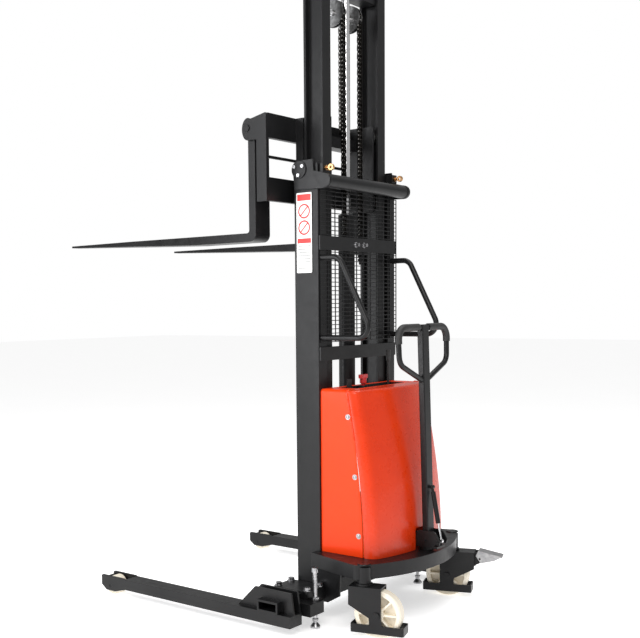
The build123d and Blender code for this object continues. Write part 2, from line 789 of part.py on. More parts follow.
# chain anchors: a bracket on the upper cross plate's inner side, with threaded ends below it
anchor_y = wheel_y - wheel_pitch_radius
anchor_shelf_z = 1440.0
anchor_thickness = 10.0
with BuildPart() as chain_anchors:
    for _, sx in SIDES:
        shelf_rear = mast_rear_y
        with Locations((sx * chain_x, (shelf_rear + anchor_y + 14.0) / 2, anchor_shelf_z - anchor_thickness / 2)):
            Box(34.0, anchor_y + 14.0 - shelf_rear, anchor_thickness)
        with BuildSketch(Plane.XY.offset(anchor_shelf_z)):
            with Locations((sx * chain_x, anchor_y)):
                Circle(6.0)
        extrude(amount=-48.0)
        for nut_z in (anchor_shelf_z - anchor_thickness, anchor_shelf_z - anchor_thickness - 14.0):
            with BuildSketch(Plane.XY.offset(nut_z)):
                with Locations((sx * chain_x, anchor_y)):
                    RegularPolygon(11.0, 6)
            extrude(amount=-10.0)
    # strap over the cylinder, held by the two bolts through the plate
    with BuildSketch(Plane.XY.offset(anchor_shelf_z - anchor_thickness)):
        with Locations((0, mast_mid_y)):
            Circle(barrel_radius + 6.0)
        with Locations((0, (mast_rear_y + mast_mid_y) / 2)):
            Rectangle(2 * chain_x + 4.0, mast_mid_y - mast_rear_y, mode=Mode.INTERSECT)
        with Locations(((0, (mast_rear_y + anchor_y) / 2))):
            Rectangle(2 * chain_x, anchor_y - mast_rear_y)
        with Locations((0, mast_mid_y)):
            Circle(barrel_radius + gap, mode=Mode.SUBTRACT)
    extrude(amount=anchor_thickness)
chain_anchors.part.label = "chain_anchors"
export_step(chain_anchors.part, "parts/chain_anchors.step")

# bolts of the mast: three in each disc, two in the upper cross plate, one at each handle foot
frame_bolt_radius = 7.0
frame_bolt_head = 6.0
plate_bolt_x = 29.0
with BuildPart() as frame_bolts:
    for _, sx in SIDES:
        with BuildSketch(Plane.YZ.offset(sx * (mast_outer_x + head_thickness + 5.0))):
            with Locations(head_disc_centre):
                with PolarLocations(head_bolt_circle, 3, start_angle=30.0 if sx < 0 else 30.0):
                    Circle(frame_bolt_radius)
        extrude(amount=sx * frame_bolt_head)
        with BuildSketch(xz(guard_rear_y - plate_thickness)):
            with Locations((-sx * plate_bolt_x, 1467.0)):
                Circle(11.0)
        extrude(amount=-2.5)
        with BuildSketch(xz(guard_rear_y - plate_thickness - 2.5)):
            with Locations((-sx * plate_bolt_x, 1467.0)):
                Circle(frame_bolt_radius)
        extrude(amount=-14.0)
frame_bolts.part.label = "frame_bolts"
export_step(frame_bolts.part, "parts/frame_bolts.step")

# bent grab handles on the back of the uprights
handle_knee_y = y0 - 32.0
handle_reach_y = y0 - 190.0
with BuildPart() as grab_handles:
    for _, sx in SIDES:
        with BuildLine() as handle_route:
            FilletPolyline(
                (sx * handle_x, mast_rear_y, handle_upper_z),
                (sx * handle_x, handle_knee_y, handle_upper_z),
                (sx * handle_x, handle_reach_y, handle_lower_z),
                (sx * handle_x, mast_rear_y, handle_lower_z),
                radius=44.0,
            )
        with BuildSketch(Plane(origin=handle_route.line @ 0, z_dir=handle_route.line % 0)):
            Circle(handle_radius)
            Circle(handle_radius - 2.5, mode=Mode.SUBTRACT)
        sweep(path=handle_route.line)
grab_handles.part.label = "grab_handles"
export_step(grab_handles.part, "parts/grab_handles.step")

# ================================================================ inner mast
with BuildPart() as inner_uprights:
    for _, sx in SIDES:
        rail_x = sx * (inner_outer_x + inner_inner_x) / 2
        with BuildSketch(Plane.XY.offset(inner_bottom)):
            with Locations((rail_x, mast_mid_y)):
                Rectangle(inner_web, inner_depth)
            with Locations(
                (rail_x, inner_rear_y + inner_flange / 2),
                (rail_x, inner_rear_y + inner_depth - inner_flange / 2),
            ):
                Rectangle(inner_width, inner_flange)
        extrude(amount=inner_length)
inner_uprights.part.label = "inner_uprights"
export_step(inner_uprights.part, "parts/inner_uprights.step")

lower_tie_height = 36.0
lower_tie_depth = 8.0
upper_tie_bottom = wheel_z + 72.0
inner_roller_z = inner_bottom + 45.0
with BuildPart() as inner_ties:
    # lower tie in front of the cylinder
    tie_front_y = inner_rear_y + inner_depth
    with Locations((0, tie_front_y - lower_tie_depth / 2, inner_bottom + lower_tie_height / 2)):
        Box(2 * inner_inner_x, lower_tie_depth, lower_tie_height)
    with Locations((0, mast_mid_y, inner_bottom + lower_tie_height / 2)):
        Cylinder(barrel_radius + 1.5, lower_tie_height, mode=Mode.SUBTRACT)
    # upper tie over the chain wheels
    with Locations((0, mast_mid_y, (upper_tie_bottom + inner_top) / 2)):
        Box(2 * inner_inner_x, inner_depth - 20.0, inner_top - upper_tie_bottom)
        Box(2 * inner_inner_x - 20.0, inner_depth - 36.0, inner_top - upper_tie_bottom - 16.0, mode=Mode.SUBTRACT)
    # spindles of the lower mast rollers, standing out into the outer channel
    for _, sx in SIDES:
        spindle_x = sx * (inner_inner_x + inner_width / 2 + inner_web / 2)
        with BuildSketch(yz(spindle_x)):
            with Locations((mast_mid_y, inner_roller_z)):
                Circle(12.0)
        extrude(amount=sx * (mast_outer_x - outer_thickness - 2.0 - abs(spindle_x)))
inner_ties.part.label = "inner_ties"
export_step(inner_ties.part, "parts/inner_ties.step")

# rollers that run between the flanges of the channels
outer_roller_z = 1735.0
groove_x = inner_inner_x + inner_width / 2 + inner_web / 2
inner_roller_mid_x = mast_outer_x - outer_thickness - 9.0 - mast_roller_width / 2
ROLLER_PAIRS = (
    ("outer_rollers", groove_x + 2.0 + mast_roller_width / 2, outer_roller_z, mast_roller_radius),
    ("inner_rollers", inner_roller_mid_x, inner_roller_z, outer_depth / 2 - outer_thickness - 1.5),
)
for name, roller_x, roller_z, roller_radius in ROLLER_PAIRS:
    with BuildPart() as rollers:
        for _, sx in SIDES:
            with BuildSketch(yz(sx * roller_x)):
                with Locations((mast_mid_y, roller_z)):
                    Circle(roller_radius)
                    Circle(12.0 + fit, mode=Mode.SUBTRACT)
            extrude(amount=mast_roller_width / 2, both=True)
    rollers.part.label = name
    export_step(rollers.part, f"parts/{name}.step")

# ---------------------------------------------------------------- lift cylinder
rod_bore_clearance = 0.08
stroke_spare = 60.0
with BuildPart() as lift_cylinder:
    with BuildSketch(Plane.XY.offset(sleeve_top)):
        with Locations((0, mast_mid_y)):
            Circle(barrel_radius)
    extrude(amount=barrel_top - sleeve_top)
    with Locations((0, mast_mid_y, barrel_top)):
        Cylinder(
            rod_radius + rod_bore_clearance,
            barrel_top - sleeve_top - 14.0,
            align=(Align.CENTER, Align.CENTER, Align.MAX),
            mode=Mode.SUBTRACT,
        )
    # hose port on the right of the barrel
    with BuildSketch(yz(barrel_radius - 2.0)):
        with Locations((mast_mid_y, 300.0)):
            RegularPolygon(11.0, 6)
    extrude(amount=16.0)
lift_cylinder.part.label = "lift_cylinder"
export_step(lift_cylinder.part, "parts/lift_cylinder.step")

rod_foot_z = inner_bottom + 25.0
with BuildPart() as lift_rod:
    with BuildSketch(Plane.XY.offset(rod_foot_z)):
        with Locations((0, mast_mid_y)):
            Circle(rod_radius)
    extrude(amount=upper_tie_bottom - rod_foot_z)
    # stub that joins the wheel axle to the rod
    with Locations((0, (mast_mid_y + wheel_y) / 2, wheel_z)):
        Box(2 * rod_radius - 4.0, wheel_y - mast_mid_y + 20.0, 24.0)
    with BuildSketch(Plane.YZ):
        with Locations((wheel_y, wheel_z)):
            Circle(12.0)
    extrude(amount=chain_x + wheel_width / 2 + 10.0, both=True)
lift_rod.part.label = "lift_rod"
export_step(lift_rod.part, "parts/lift_rod.step")

with BuildPart() as chain_wheels:
    for _, sx in SIDES:
        with BuildSketch(yz(sx * chain_x)) as wheel_disc:
            with Locations((wheel_y, wheel_z)):
                Circle(wheel_radius)
                Circle(12.0 + fit, mode=Mode.SUBTRACT)
        extrude(amount=wheel_width / 2, both=True)
        with BuildSketch(yz(sx * chain_x)):
            with Locations((wheel_y, wheel_z)):
                Circle(wheel_radius)
                Circle(wheel_pitch_radius - chain_plate / 2, mode=Mode.SUBTRACT)
        extrude(amount=chain_width / 2 + 0.5, both=True, mode=Mode.SUBTRACT)
chain_wheels.part.label = "chain_wheels"
export_step(chain_wheels.part, "parts/chain_wheels.step")

with BuildPart() as lift_chains:
    front_y = wheel_y + wheel_pitch_radius
    rear_y = wheel_y - wheel_pitch_radius
    half = chain_plate / 2 - gap
    for _, sx in SIDES:
        with BuildSketch(yz(sx * chain_x)) as chain_shape:
            with Locations((wheel_y, wheel_z)):
                Circle(wheel_pitch_radius + half)
                Circle(wheel_pitch_radius - half, mode=Mode.SUBTRACT)
            with Locations((wheel_y, wheel_z - wheel_radius)):
                Rectangle(4 * wheel_radius, 2 * wheel_radius, mode=Mode.SUBTRACT)
            with Locations((rear_y, (wheel_z + chain_rear_end + gap) / 2)):
                Rectangle(2 * half, wheel_z - chain_rear_end - gap)
            with Locations((front_y, (wheel_z + chain_front_end + gap) / 2)):
                Rectangle(2 * half, wheel_z - chain_front_end - gap)
        extrude(amount=chain_width / 2, both=True)
lift_chains.part.label = "lift_chains"
export_step(lift_chains.part, "parts/lift_chains.step")

# ================================================================ fork carriage
carriage_cheek_x = 156.0
carriage_cheek_thickness = 10.0
carriage_cheek_rear_y = mast_mid_y - 32.0
carriage_cheek_bottom = 1612.0
carriage_cheek_top = 1955.0
carriage_roller_zs = (1652.0, 1915.0)
carriage_post_x = (165.0, 205.0)
tie_rod_z = 1798.0
upper_bar_top = upper_bar_bottom + upper_bar_height

with BuildPart() as carriage:
    for bottom, height in ((upper_bar_bottom, upper_bar_height), (lower_bar_bottom, lower_bar_height)):
        with Locations((0, bar_rear_y + bar_thickness / 2, bottom + height / 2)):
            Box(2 * bar_half_x, bar_thickness, height)
    for _, sx in SIDES:
        # end plate with the round lobe for the fork shaft
        near_x = bar_half_x if sx > 0 else -bar_half_x - end_plate_thickness
        with BuildSketch(yz(near_x)):
            with BuildLine():
                Polyline(
                    (bar_rear_y, lower_bar_bottom - 2.0),
                    (bar_rear_y + 48.0, lower_bar_bottom - 2.0),
                    (bar_rear_y + 48.0, shaft_z - 46.0),
                    (shaft_y, shaft_z - 46.0),
                    (shaft_y, shaft_z + 30.0),
                    (bar_rear_y + 4.0, upper_bar_top),
                    (bar_rear_y, upper_bar_top - 6.0),
                    close=True,
                )
            make_face()
            with Locations((shaft_y - 3.0, shaft_z - 4.0)):
                Ellipse(28.0, 42.0)
            with Locations((shaft_y, shaft_z)):
                Circle(shaft_radius, mode=Mode.SUBTRACT)
        extrude(amount=end_plate_thickness)
        # cheek that carries the rollers, between the inner uprights
        cheek_near = carriage_cheek_x if sx > 0 else -carriage_cheek_x
        with BuildSketch(yz(cheek_near)):
            with BuildLine():
                Polyline(
                    (carriage_cheek_rear_y, carriage_cheek_bottom),
                    (bar_rear_y, carriage_cheek_bottom),
                    (bar_rear_y, carriage_cheek_top),
                    (carriage_cheek_rear_y, carriage_cheek_top),
                    close=True,
                )
            make_face()
        extrude(amount=-sx * carriage_cheek_thickness)
        # post in front of the mast, joining the two bars
        post_mid = sx * sum(carriage_post_x) / 2
        with Locations((post_mid, bar_rear_y - 18.0, (lower_bar_bottom + upper_bar_top) / 2)):
            Box(carriage_post_x[1] - carriage_post_x[0], 36.0, upper_bar_top - lower_bar_bottom)
        with Locations((sx * (carriage_cheek_x + 4.0), bar_rear_y - 18.0, (lower_bar_bottom + upper_bar_top) / 2)):
            Box(12.0, 36.0, upper_bar_top - lower_bar_bottom)
        for roller_z in carriage_roller_zs:
            with BuildSketch(yz(cheek_near)):
                with Locations((mast_mid_y, roller_z)):
                    Circle(12.0)
            extrude(amount=sx * (inner_inner_x + inner_width / 2 - inner_web / 2 - 3.0 - carriage_cheek_x))
    # chain block between the cheeks
    block_rear_y = wheel_y + wheel_pitch_radius - 12.0
    with Locations((0, (block_rear_y + bar_rear_y) / 2, chain_front_end - 22.0)):
        Box(2 * carriage_cheek_x - 2.0, bar_rear_y - block_rear_y, 44.0)
carriage.part.label = "carriage"
export_step(carriage.part, "parts/carriage.step")

carriage_roller_mid_x = carriage_cheek_x + 2.0 + mast_roller_width / 2
for name, roller_z in zip(("carriage_rollers_lower", "carriage_rollers_upper"), carriage_roller_zs):
    with BuildPart() as rollers:
        for _, sx in SIDES:
            with BuildSketch(yz(sx * carriage_roller_mid_x)):
                with Locations((mast_mid_y, roller_z)):
                    Circle(mast_roller_radius)
                    Circle(12.0 + fit, mode=Mode.SUBTRACT)
            extrude(amount=mast_roller_width / 2, both=True)
    rollers.part.label = name
    export_step(rollers.part, f"parts/{name}.step")

with BuildPart() as fork_shaft:
    with BuildSketch(Plane.YZ):
        with Locations((shaft_y, shaft_z)):
            Circle(shaft_radius)
        with Locations((bar_rear_y + 30.0, tie_rod_z)):
            Circle(6.0)
    extrude(amount=bar_half_x, both=True)
    for _, sx in SIDES:
        with BuildSketch(yz(sx * bar_half_x)):
            with Locations((shaft_y, shaft_z)):
                Circle(shaft_radius)
        extrude(amount=sx * end_plate_thickness)
        with BuildSketch(yz(sx * (bar_half_x + end_plate_thickness))):
            with Locations((shaft_y, shaft_z)):
                Circle(13.0)
        extrude(amount=sx * 4.0)
fork_shaft.part.label = "fork_shaft"
export_step(fork_shaft.part, "parts/fork_shaft.step")

for side, sx in SIDES:
    with BuildPart() as fork:
        near_x = fork_outer_x - fork_width if sx > 0 else -fork_outer_x
        with BuildSketch(yz(near_x)) as fork_side:
            with BuildLine():
                Polyline(
                    (fork_rear_y, fork_top - fork_thickness),
                    (fork_rear_y + 330.0, fork_top - fork_thickness),
                    (fork_tip_y, fork_top - fork_tip_thickness),
                    (fork_tip_y, fork_top),
                    (fork_rear_y + fork_thickness, fork_top),
                    (fork_rear_y + fork_thickness, shaft_z),
                    (fork_rear_y, shaft_z),
                    close=True,
                )
            make_face()
            heel = fork_side.vertices().group_by(Axis.Y)[0].sort_by(Axis.X)[0]
            fillet(heel, 30.0)
            inner_heel = fork_side.vertices().sort_by_distance((fork_rear_y + fork_thickness, fork_top, 0))[0]
            fillet(inner_heel, 12.0)
            with Locations((shaft_y, shaft_z)):
                Circle(shaft_radius + 13.0)
                Circle(shaft_radius + fit, mode=Mode.SUBTRACT)
        extrude(amount=fork_width)
        # plan of the blade: narrower towards the tip
        fork_mid_x = sx * (fork_outer_x - fork_width / 2)
        with BuildSketch(Plane.XY.offset(fork_top)):
            with BuildLine():
                Polyline(
                    (fork_mid_x - fork_width / 2 - 1.0, fork_tip_y - fork_taper_length),
                    (fork_mid_x - fork_width / 2 - 1.0, fork_tip_y + 1.0),
                    (fork_mid_x + fork_width / 2 + 1.0, fork_tip_y + 1.0),
                    (fork_mid_x + fork_width / 2 + 1.0, fork_tip_y - fork_taper_length),
                    (fork_mid_x + fork_width / 2, fork_tip_y - fork_taper_length),
                    (fork_mid_x + fork_tip_width / 2, fork_tip_y),
                    (fork_mid_x - fork_tip_width / 2, fork_tip_y),
                    (fork_mid_x - fork_width / 2, fork_tip_y - fork_taper_length),
                    close=True,
                )
            make_face()
        extrude(amount=2 * fork_thickness, both=True, mode=Mode.SUBTRACT)
    fork.part.label = f"fork_{side}"
    export_step(fork.part, f"parts/fork_{side}.step")

# ================================================================ covers


def rear_corner_at(z):
    """Y of the rear cover's corner at height z: the sides flare out towards the floor."""
    drop = (cover_top - z) / (cover_top - cover_bottom)
    return cover_corner_y - cover_flare * sin(radians(90.0 * drop))


def seam_at(z):
    """Y of the seam between the two covers at height z."""
    drop = (cover_top - z) / (cover_top - cover_bottom)
    return seam_y - seam_sweep * sin(radians(90.0 * drop))


def cover_heights(bottom, top):
    return [bottom + (top - bottom) * step / 4 for step in range(5)]


cover_solids = []
for inset, bottom, top in ((0.0, cover_bottom, cover_top), (cover_wall, cover_bottom - 1.0, cover_top - cover_wall)):
    half_x = cover_half_x - inset
    with BuildPart() as cover_block:
        for z in cover_heights(bottom, top):
            corner_y = rear_corner_at(z) + inset
            with BuildSketch(Plane.XY.offset(z)) as plan:
                with BuildLine():
                    Polyline(
                        (-half_x, corner_y),
                        (-half_x, cover_front_y - inset),
                        (half_x, cover_front_y - inset),
                        (half_x, corner_y),
                    )
                    ThreePointArc((half_x, corner_y), (0, corner_y - cover_bulge), (-half_x, corner_y))
                make_face()
                corners = plan.vertices().group_by(Axis.Y)[0]
                fillet(corners, cover_corner_radius - inset)
        loft()
    cover_solids.append(cover_block.part)

with BuildPart() as cover_shell:
    add(cover_solids[0])
    add(cover_solids[1], mode=Mode.SUBTRACT)
    # open front towards the mast
    with BuildSketch(xz(cover_front_y + 1.0)):
        with Locations((0, (cover_bottom + cover_top) / 2)):
            Rectangle(2 * cover_half_x - 70.0, cover_top - cover_bottom - 90.0)
    extrude(amount=-cover_wall - 6.0, mode=Mode.SUBTRACT)
    # opening for the control panel in the top
    panel_half_x = 178.0
    panel_rear_y = y0 - 62.0
    panel_front_y = y0 + 24.0
    with BuildSketch(Plane.XY.offset(cover_top + 1.0)):
        with Locations((0, (panel_rear_y + panel_front_y) / 2)):
            Rectangle(2 * panel_half_x, panel_front_y - panel_rear_y)
    extrude(amount=-cover_wall - 2.0, mode=Mode.SUBTRACT)

COVERS = (("rear_cover", -1, 0.0), ("front_cover", 1, seam_gap))
for name, direction, shift in COVERS:
    with BuildPart() as cover:
        add(cover_shell.part)
        with BuildSketch(Plane.YZ):
            with BuildLine():
                seam_points = [
                    (seam_at(z) + shift, z) for z in cover_heights(cover_bottom - 4.0, cover_top + 4.0)
                ]
                Spline(*seam_points)
                far_y = y0 + direction * 600.0
                Polyline(
                    seam_points[-1],
                    (far_y, cover_top + 4.0),
                    (far_y, cover_bottom - 4.0),
                    seam_points[0],
                )
            make_face()
        extrude(amount=cover_half_x + 10.0, both=True, mode=Mode.INTERSECT)
        if name == "rear_cover":
            # arch at the foot for the tiller clevis to turn in
            with Locations((0, swivel_y, cover_bottom - 1.0)):
                Cylinder(clevis_turn_radius, clevis_top + 4.0 - cover_bottom, align=UP, mode=Mode.SUBTRACT)
    cover.part.label = name
    export_step(cover.part, f"parts/{name}.step")

cover_screw_zs = (806.0, 578.0, 352.0)
with BuildPart() as cover_screws:
    for _, sx in SIDES:
        for screw_z in cover_screw_zs:
            with BuildSketch(Plane.YZ.offset(sx * cover_half_x)):
                with Locations((seam_at(screw_z) + 17.0, screw_z)):
                    Circle(9.5)
            extrude(amount=sx * 4.0, taper=20.0)
cover_screws.part.label = "cover_screws"
export_step(cover_screws.part, "parts/cover_screws.step")

# ---------------------------------------------------------------- control panel
key_at = (-139.0, y0 + 2.0)
knob_at = (-35.0, y0 + 5.0)
lever_at = (83.0, y0 - 39.0)
lamp_at = (-92.0, y0 - 8.0)
panel_top = cover_top - panel_depth
panel_wall = 3.0
lever_pivot_z = panel_top - 18.0
knob_hole = 8.0

with BuildPart() as control_panel:
    panel_mid_y = (panel_rear_y + panel_front_y) / 2
    with BuildSketch(Plane.XY.offset(panel_top - panel_wall)):
        with Locations((0, panel_mid_y)):
            Rectangle(2 * panel_half_x - 2 * gap, panel_front_y - panel_rear_y - 2 * gap)
    extrude(amount=panel_depth + panel_wall)
    with BuildSketch(Plane.XY.offset(panel_top)):
        with Locations((0, panel_mid_y)):
            Rectangle(2 * panel_half_x - 2 * gap - 6.0, panel_front_y - panel_rear_y - 2 * gap - 6.0)
    extrude(amount=panel_depth + 1.0, mode=Mode.SUBTRACT)
    # key switch and battery switch bodies
    with Locations((*key_at, panel_top - 30.0)):
        Cylinder(14.0, 38.0, align=UP)
    with Locations((*knob_at, panel_top - 30.0)):
        Cylinder(18.0, 42.0, align=UP)
    # charge lamp
    with Locations((*lamp_at, panel_top + 2.0)):
        Box(20.0, 16.0, 4.0)
    # bracket of the lift lever under the panel, with its slot
    with Locations((*lever_at, panel_top - panel_wall - 14.0)):
        Box(44.0, 30.0, 28.0)
        Box(14.0, 60.0, 60.0, mode=Mode.SUBTRACT)
    with BuildSketch(yz(lever_at[0])):
        with Locations((lever_at[1], lever_pivot_z)):
            Circle(5.0)
    extrude(amount=12.0, both=True)
    with Locations((*key_at, panel_top + 10.0)):
        Cylinder(4.0 + fit, 30.0, align=(Align.CENTER, Align.CENTER, Align.MAX), mode=Mode.SUBTRACT)
    with Locations((*knob_at, panel_top + 20.0)):
        Cylinder(
            knob_hole + fit, 40.0, align=(Align.CENTER, Align.CENTER, Align.MAX), mode=Mode.SUBTRACT
        )
control_panel.part.label = "control_panel"
export_step(control_panel.part, "parts/control_panel.step")

key_socket_top = panel_top + 8.0
with BuildPart() as key:
    with BuildSketch(Plane.XY.offset(key_socket_top - 15.0)):
        with Locations(key_at):
            Circle(4.0)
    extrude(amount=20.0)
    with Locations((key_at[0], key_at[1], key_socket_top + 5.0 + 15.0)):
        Box(26.0, 7.0, 30.0)
key.part.label = "key"
export_step(key.part, "parts/key.step")

knob_socket_top = panel_top + 12.0
knob_travel = 8.0
with BuildPart() as battery_switch:
    with BuildSketch(Plane.XY.offset(knob_socket_top - 24.0)):
        with Locations(knob_at):
            Circle(knob_hole)
    extrude(amount=24.0 + knob_travel + 1.0)
    with BuildSketch(Plane.XY.offset(knob_socket_top + knob_travel + 1.0)):
        with Locations(knob_at):
            Circle(14.0)
    extrude(amount=22.0)
    with BuildSketch(Plane.XY.offset(knob_socket_top + knob_travel + 21.0)):
        with Locations(knob_at):
            SlotOverall(54.0, 18.0)
    extrude(amount=15.0)
battery_switch.part.label = "battery_switch"
export_step(battery_switch.part, "parts/battery_switch.step")

lever_rod_top = 1002.0
lever_top = 1046.0
with BuildPart() as lift_lever:
    with BuildSketch(yz(lever_at[0])):
        with Locations((lever_at[1], lever_pivot_z)):
            Circle(9.0)
    extrude(amount=4.5, both=True)
    with BuildSketch(Plane.XY.offset(lever_pivot_z)):
        with Locations(lever_at):
            Circle(4.5)
    extrude(amount=lever_rod_top - lever_pivot_z)
    with BuildSketch(Plane.XY.offset(lever_rod_top)):
        with Locations(lever_at):
            Circle(8.0)
    extrude(amount=lever_top - lever_rod_top, taper=-2.0)
    with BuildSketch(yz(lever_at[0])):
        with Locations((lever_at[1], lever_pivot_z)):
            Circle(5.0 + fit)
    extrude(amount=6.0, both=True, mode=Mode.SUBTRACT)
lift_lever.part.label = "lift_lever"
export_step(lift_lever.part, "parts/lift_lever.step")

# ---------------------------------------------------------------- under the covers
with BuildPart() as battery:
    with Locations((-125.0, y0 - 45.0, base_top)):
        Box(230.0, 160.0, 200.0, align=UP)
        with Locations((-80.0, 0, 200.0), (80.0, 0, 200.0)):
            Cylinder(9.0, 16.0, align=UP)
battery.part.label = "battery"
export_step(battery.part, "parts/battery.step")

pump_x = 110.0
pump_y = y0 - 50.0
valve_bottom = 450.0
valve_height = 46.0
with BuildPart() as pump_motor:
    with BuildSketch(Plane.XY.offset(base_top)):
        with Locations((pump_x, pump_y)):
            Circle(56.0)
    extrude(amount=valve_bottom - base_top)
    with Locations((pump_x, pump_y, valve_bottom + valve_height / 2)):
        Box(110.0, 100.0, valve_height)
    with BuildSketch(xz(pump_y + 50.0)):
        with Locations((-pump_x, valve_bottom + valve_height / 2)):
            RegularPolygon(11.0, 6)
    extrude(amount=14.0)
pump_motor.part.label = "pump_motor"
export_step(pump_motor.part, "parts/pump_motor.step")

with BuildPart() as oil_tank:
    with Locations((pump_x, pump_y, valve_bottom + valve_height)):
        Box(150.0, 110.0, 240.0, align=UP)
    fillet(oil_tank.edges().filter_by(Axis.Z), 14.0)
    with Locations((pump_x - 40.0, pump_y, valve_bottom + valve_height + 240.0)):
        Cylinder(18.0, 14.0, align=UP)
oil_tank.part.label = "oil_tank"
export_step(oil_tank.part, "parts/oil_tank.step")

hose_radius = 6.5
hose_start = Vector(pump_x, pump_y + 64.0, valve_bottom + valve_height / 2)
hose_end = Vector(barrel_radius + 14.0, mast_mid_y, 300.0)
hose_points = [
    hose_start,
    Vector(pump_x, y0 + 46.0, valve_bottom + valve_height / 2),
    Vector(pump_x + 6.0, y0 + 72.0, 438.0),
    Vector(pump_x + 8.0, y0 + 88.0, 392.0),
    Vector(pump_x + 5.0, y0 + 100.0, 347.0),
    Vector(pump_x - 14.0, mast_mid_y, 300.0),
    hose_end,
]
hose_radii = []
for before, point, after in zip(hose_points, hose_points[1:], hose_points[2:]):
    turn = (point - before).get_angle(after - point)
    shorter = min((point - before).length, (after - point).length)
    hose_radii.append(0.45 * shorter / tan(radians(turn) / 2))
print("hose radii", [round(radius) for radius in hose_radii])
with BuildPart() as hydraulic_hose:
    with BuildLine() as hose_route:
        FilletPolyline(*hose_points, radius=hose_radii)
    with BuildSketch(Plane(origin=hose_route.line @ 0, z_dir=hose_route.line % 0)):
        Circle(hose_radius)
    sweep(path=hose_route.line)
hydraulic_hose.part.label = "hydraulic_hose"
export_step(hydraulic_hose.part, "parts/hydraulic_hose.step")

# ================================================================ tiller
clevis_inner = post_width / 2 + gap + 0.7
clevis_plate = 6.0
swivel_radius = 27.0
swivel_top = 285.0
clevis_floor = 8.0
with BuildPart() as tiller_swivel:
    with BuildSketch(Plane.XY.offset(base_top + gap)):
        with Locations((0, swivel_y)):
            Circle(swivel_radius)
    extrude(amount=swivel_top - base_top - gap)
    with Locations((0, swivel_y - 18.0, swivel_top + clevis_floor / 2)):
        Box(2 * (clevis_inner + clevis_plate), 92.0, clevis_floor)
    for _, sx in SIDES:
        with BuildSketch(yz(sx * clevis_inner)) as clevis_side:
            with BuildLine():
                Polyline(
                    (swivel_y + 28.0, swivel_top),
                    (swivel_y + 28.0, clevis_top - 8.0),
                    (swivel_y + 16.0, clevis_top),
                    (swivel_y - 46.0, clevis_top),
                    (swivel_y - 58.0, clevis_top - 7.0),
                    (gas_foot[0] - 12.0, gas_foot[1] + 2.0),
                    (gas_foot[0] - 8.0, gas_foot[1] - 12.0),
                    (gas_foot[0] + 10.0, gas_foot[1] - 12.0),
                    (swivel_y - 46.0, swivel_top),
                    close=True,
                )
            make_face()
        extrude(amount=sx * clevis_plate)
    # pivot bolt of the post, and the stud of the gas spring's foot
    with BuildSketch(Plane.YZ):
        with Locations((tilt_y, tilt_z)):
            Circle(6.0)
    extrude(amount=clevis_inner + clevis_plate + 5.0, both=True)
    with BuildSketch(yz(-clevis_inner - clevis_plate - 4.0)):
        with Locations(gas_foot):
            Circle(5.0)
    extrude(amount=clevis_inner + clevis_plate + 4.0 - 7.0)
tiller_swivel.part.label = "tiller_swivel"
export_step(tiller_swivel.part, "parts/tiller_swivel.step")

lean = Vector(0, sin(radians(post_lean)), cos(radians(post_lean)))
post_plane = Plane(origin=(0, tilt_y, tilt_z), x_dir=(1, 0, 0), z_dir=lean)
post_length = (post_top - tilt_z) / cos(radians(post_lean))
loop_plane = Plane(origin=(0, tilt_y, tilt_z), x_dir=(1, 0, 0), z_dir=Vector(1, 0, 0).cross(lean))


def on_loop(x, height):
    """Point in the plane of the handle loop, at a height above the tilt pivot."""
    return Vector(x, tilt_y, tilt_z) + lean * height


loop_top = 829.0
loop_low = 693.0
loop_foot = 622.0
loop_corner_radius = 46.0
with BuildPart() as tiller_post:
    with BuildSketch(post_plane.offset(14.0)) as post_section:
        RectangleRounded(post_width, post_depth, 4.0)
    extrude(amount=post_length - 14.0)
    # tongue round the pivot bolt
    with BuildSketch(Plane.YZ.offset(-post_width / 2)):
        with Locations((tilt_y, tilt_z)):
            Circle(post_depth / 2)
            with Locations((0, 8.0)):
                Rectangle(post_depth, 16.0)
    extrude(amount=post_width)
    with BuildSketch(Plane.YZ):
        with Locations((tilt_y, tilt_z)):
            Circle(6.0 + fit)
    extrude(amount=post_width, both=True, mode=Mode.SUBTRACT)
    # handle loop
    for _, sx in SIDES:
        with BuildLine() as loop_route:
            FilletPolyline(
                on_loop(0, loop_top),
                on_loop(sx * loop_half_width, loop_top),
                on_loop(sx * (loop_half_width - 5.0), loop_low),
                on_loop(sx * 12.0, loop_foot),
                radius=loop_corner_radius,
            )
        with BuildSketch(Plane(origin=loop_route.line @ 0, z_dir=loop_route.line % 0)):
            Circle(loop_tube_radius)
        sweep(path=loop_route.line)
    # stud for the top of the gas spring
    with BuildSketch(xz(gas_top[0] + 4.0)):
        with Locations((0, gas_top[1])):
            Circle(5.0)
    extrude(amount=16.0)
tiller_post.part.label = "tiller_post"
export_step(tiller_post.part, "parts/tiller_post.step")

grip_inner_x = 36.0
grip_drop = 60.0
with BuildPart() as tiller_grips:
    for _, sx in SIDES:
        with BuildLine() as grip_route:
            FilletPolyline(
                on_loop(sx * grip_inner_x, loop_top),
                on_loop(sx * loop_half_width, loop_top),
                on_loop(sx * (loop_half_width - 5.0 * grip_drop / (loop_top - loop_low)), loop_top - grip_drop),
                radius=loop_corner_radius,
            )
        with BuildSketch(Plane(origin=grip_route.line @ 0, z_dir=grip_route.line % 0)):
            Circle(grip_radius)
            Circle(loop_tube_radius + 0.08, mode=Mode.SUBTRACT)
        sweep(path=grip_route.line)
tiller_grips.part.label = "tiller_grips"
export_step(tiller_grips.part, "parts/tiller_grips.step")

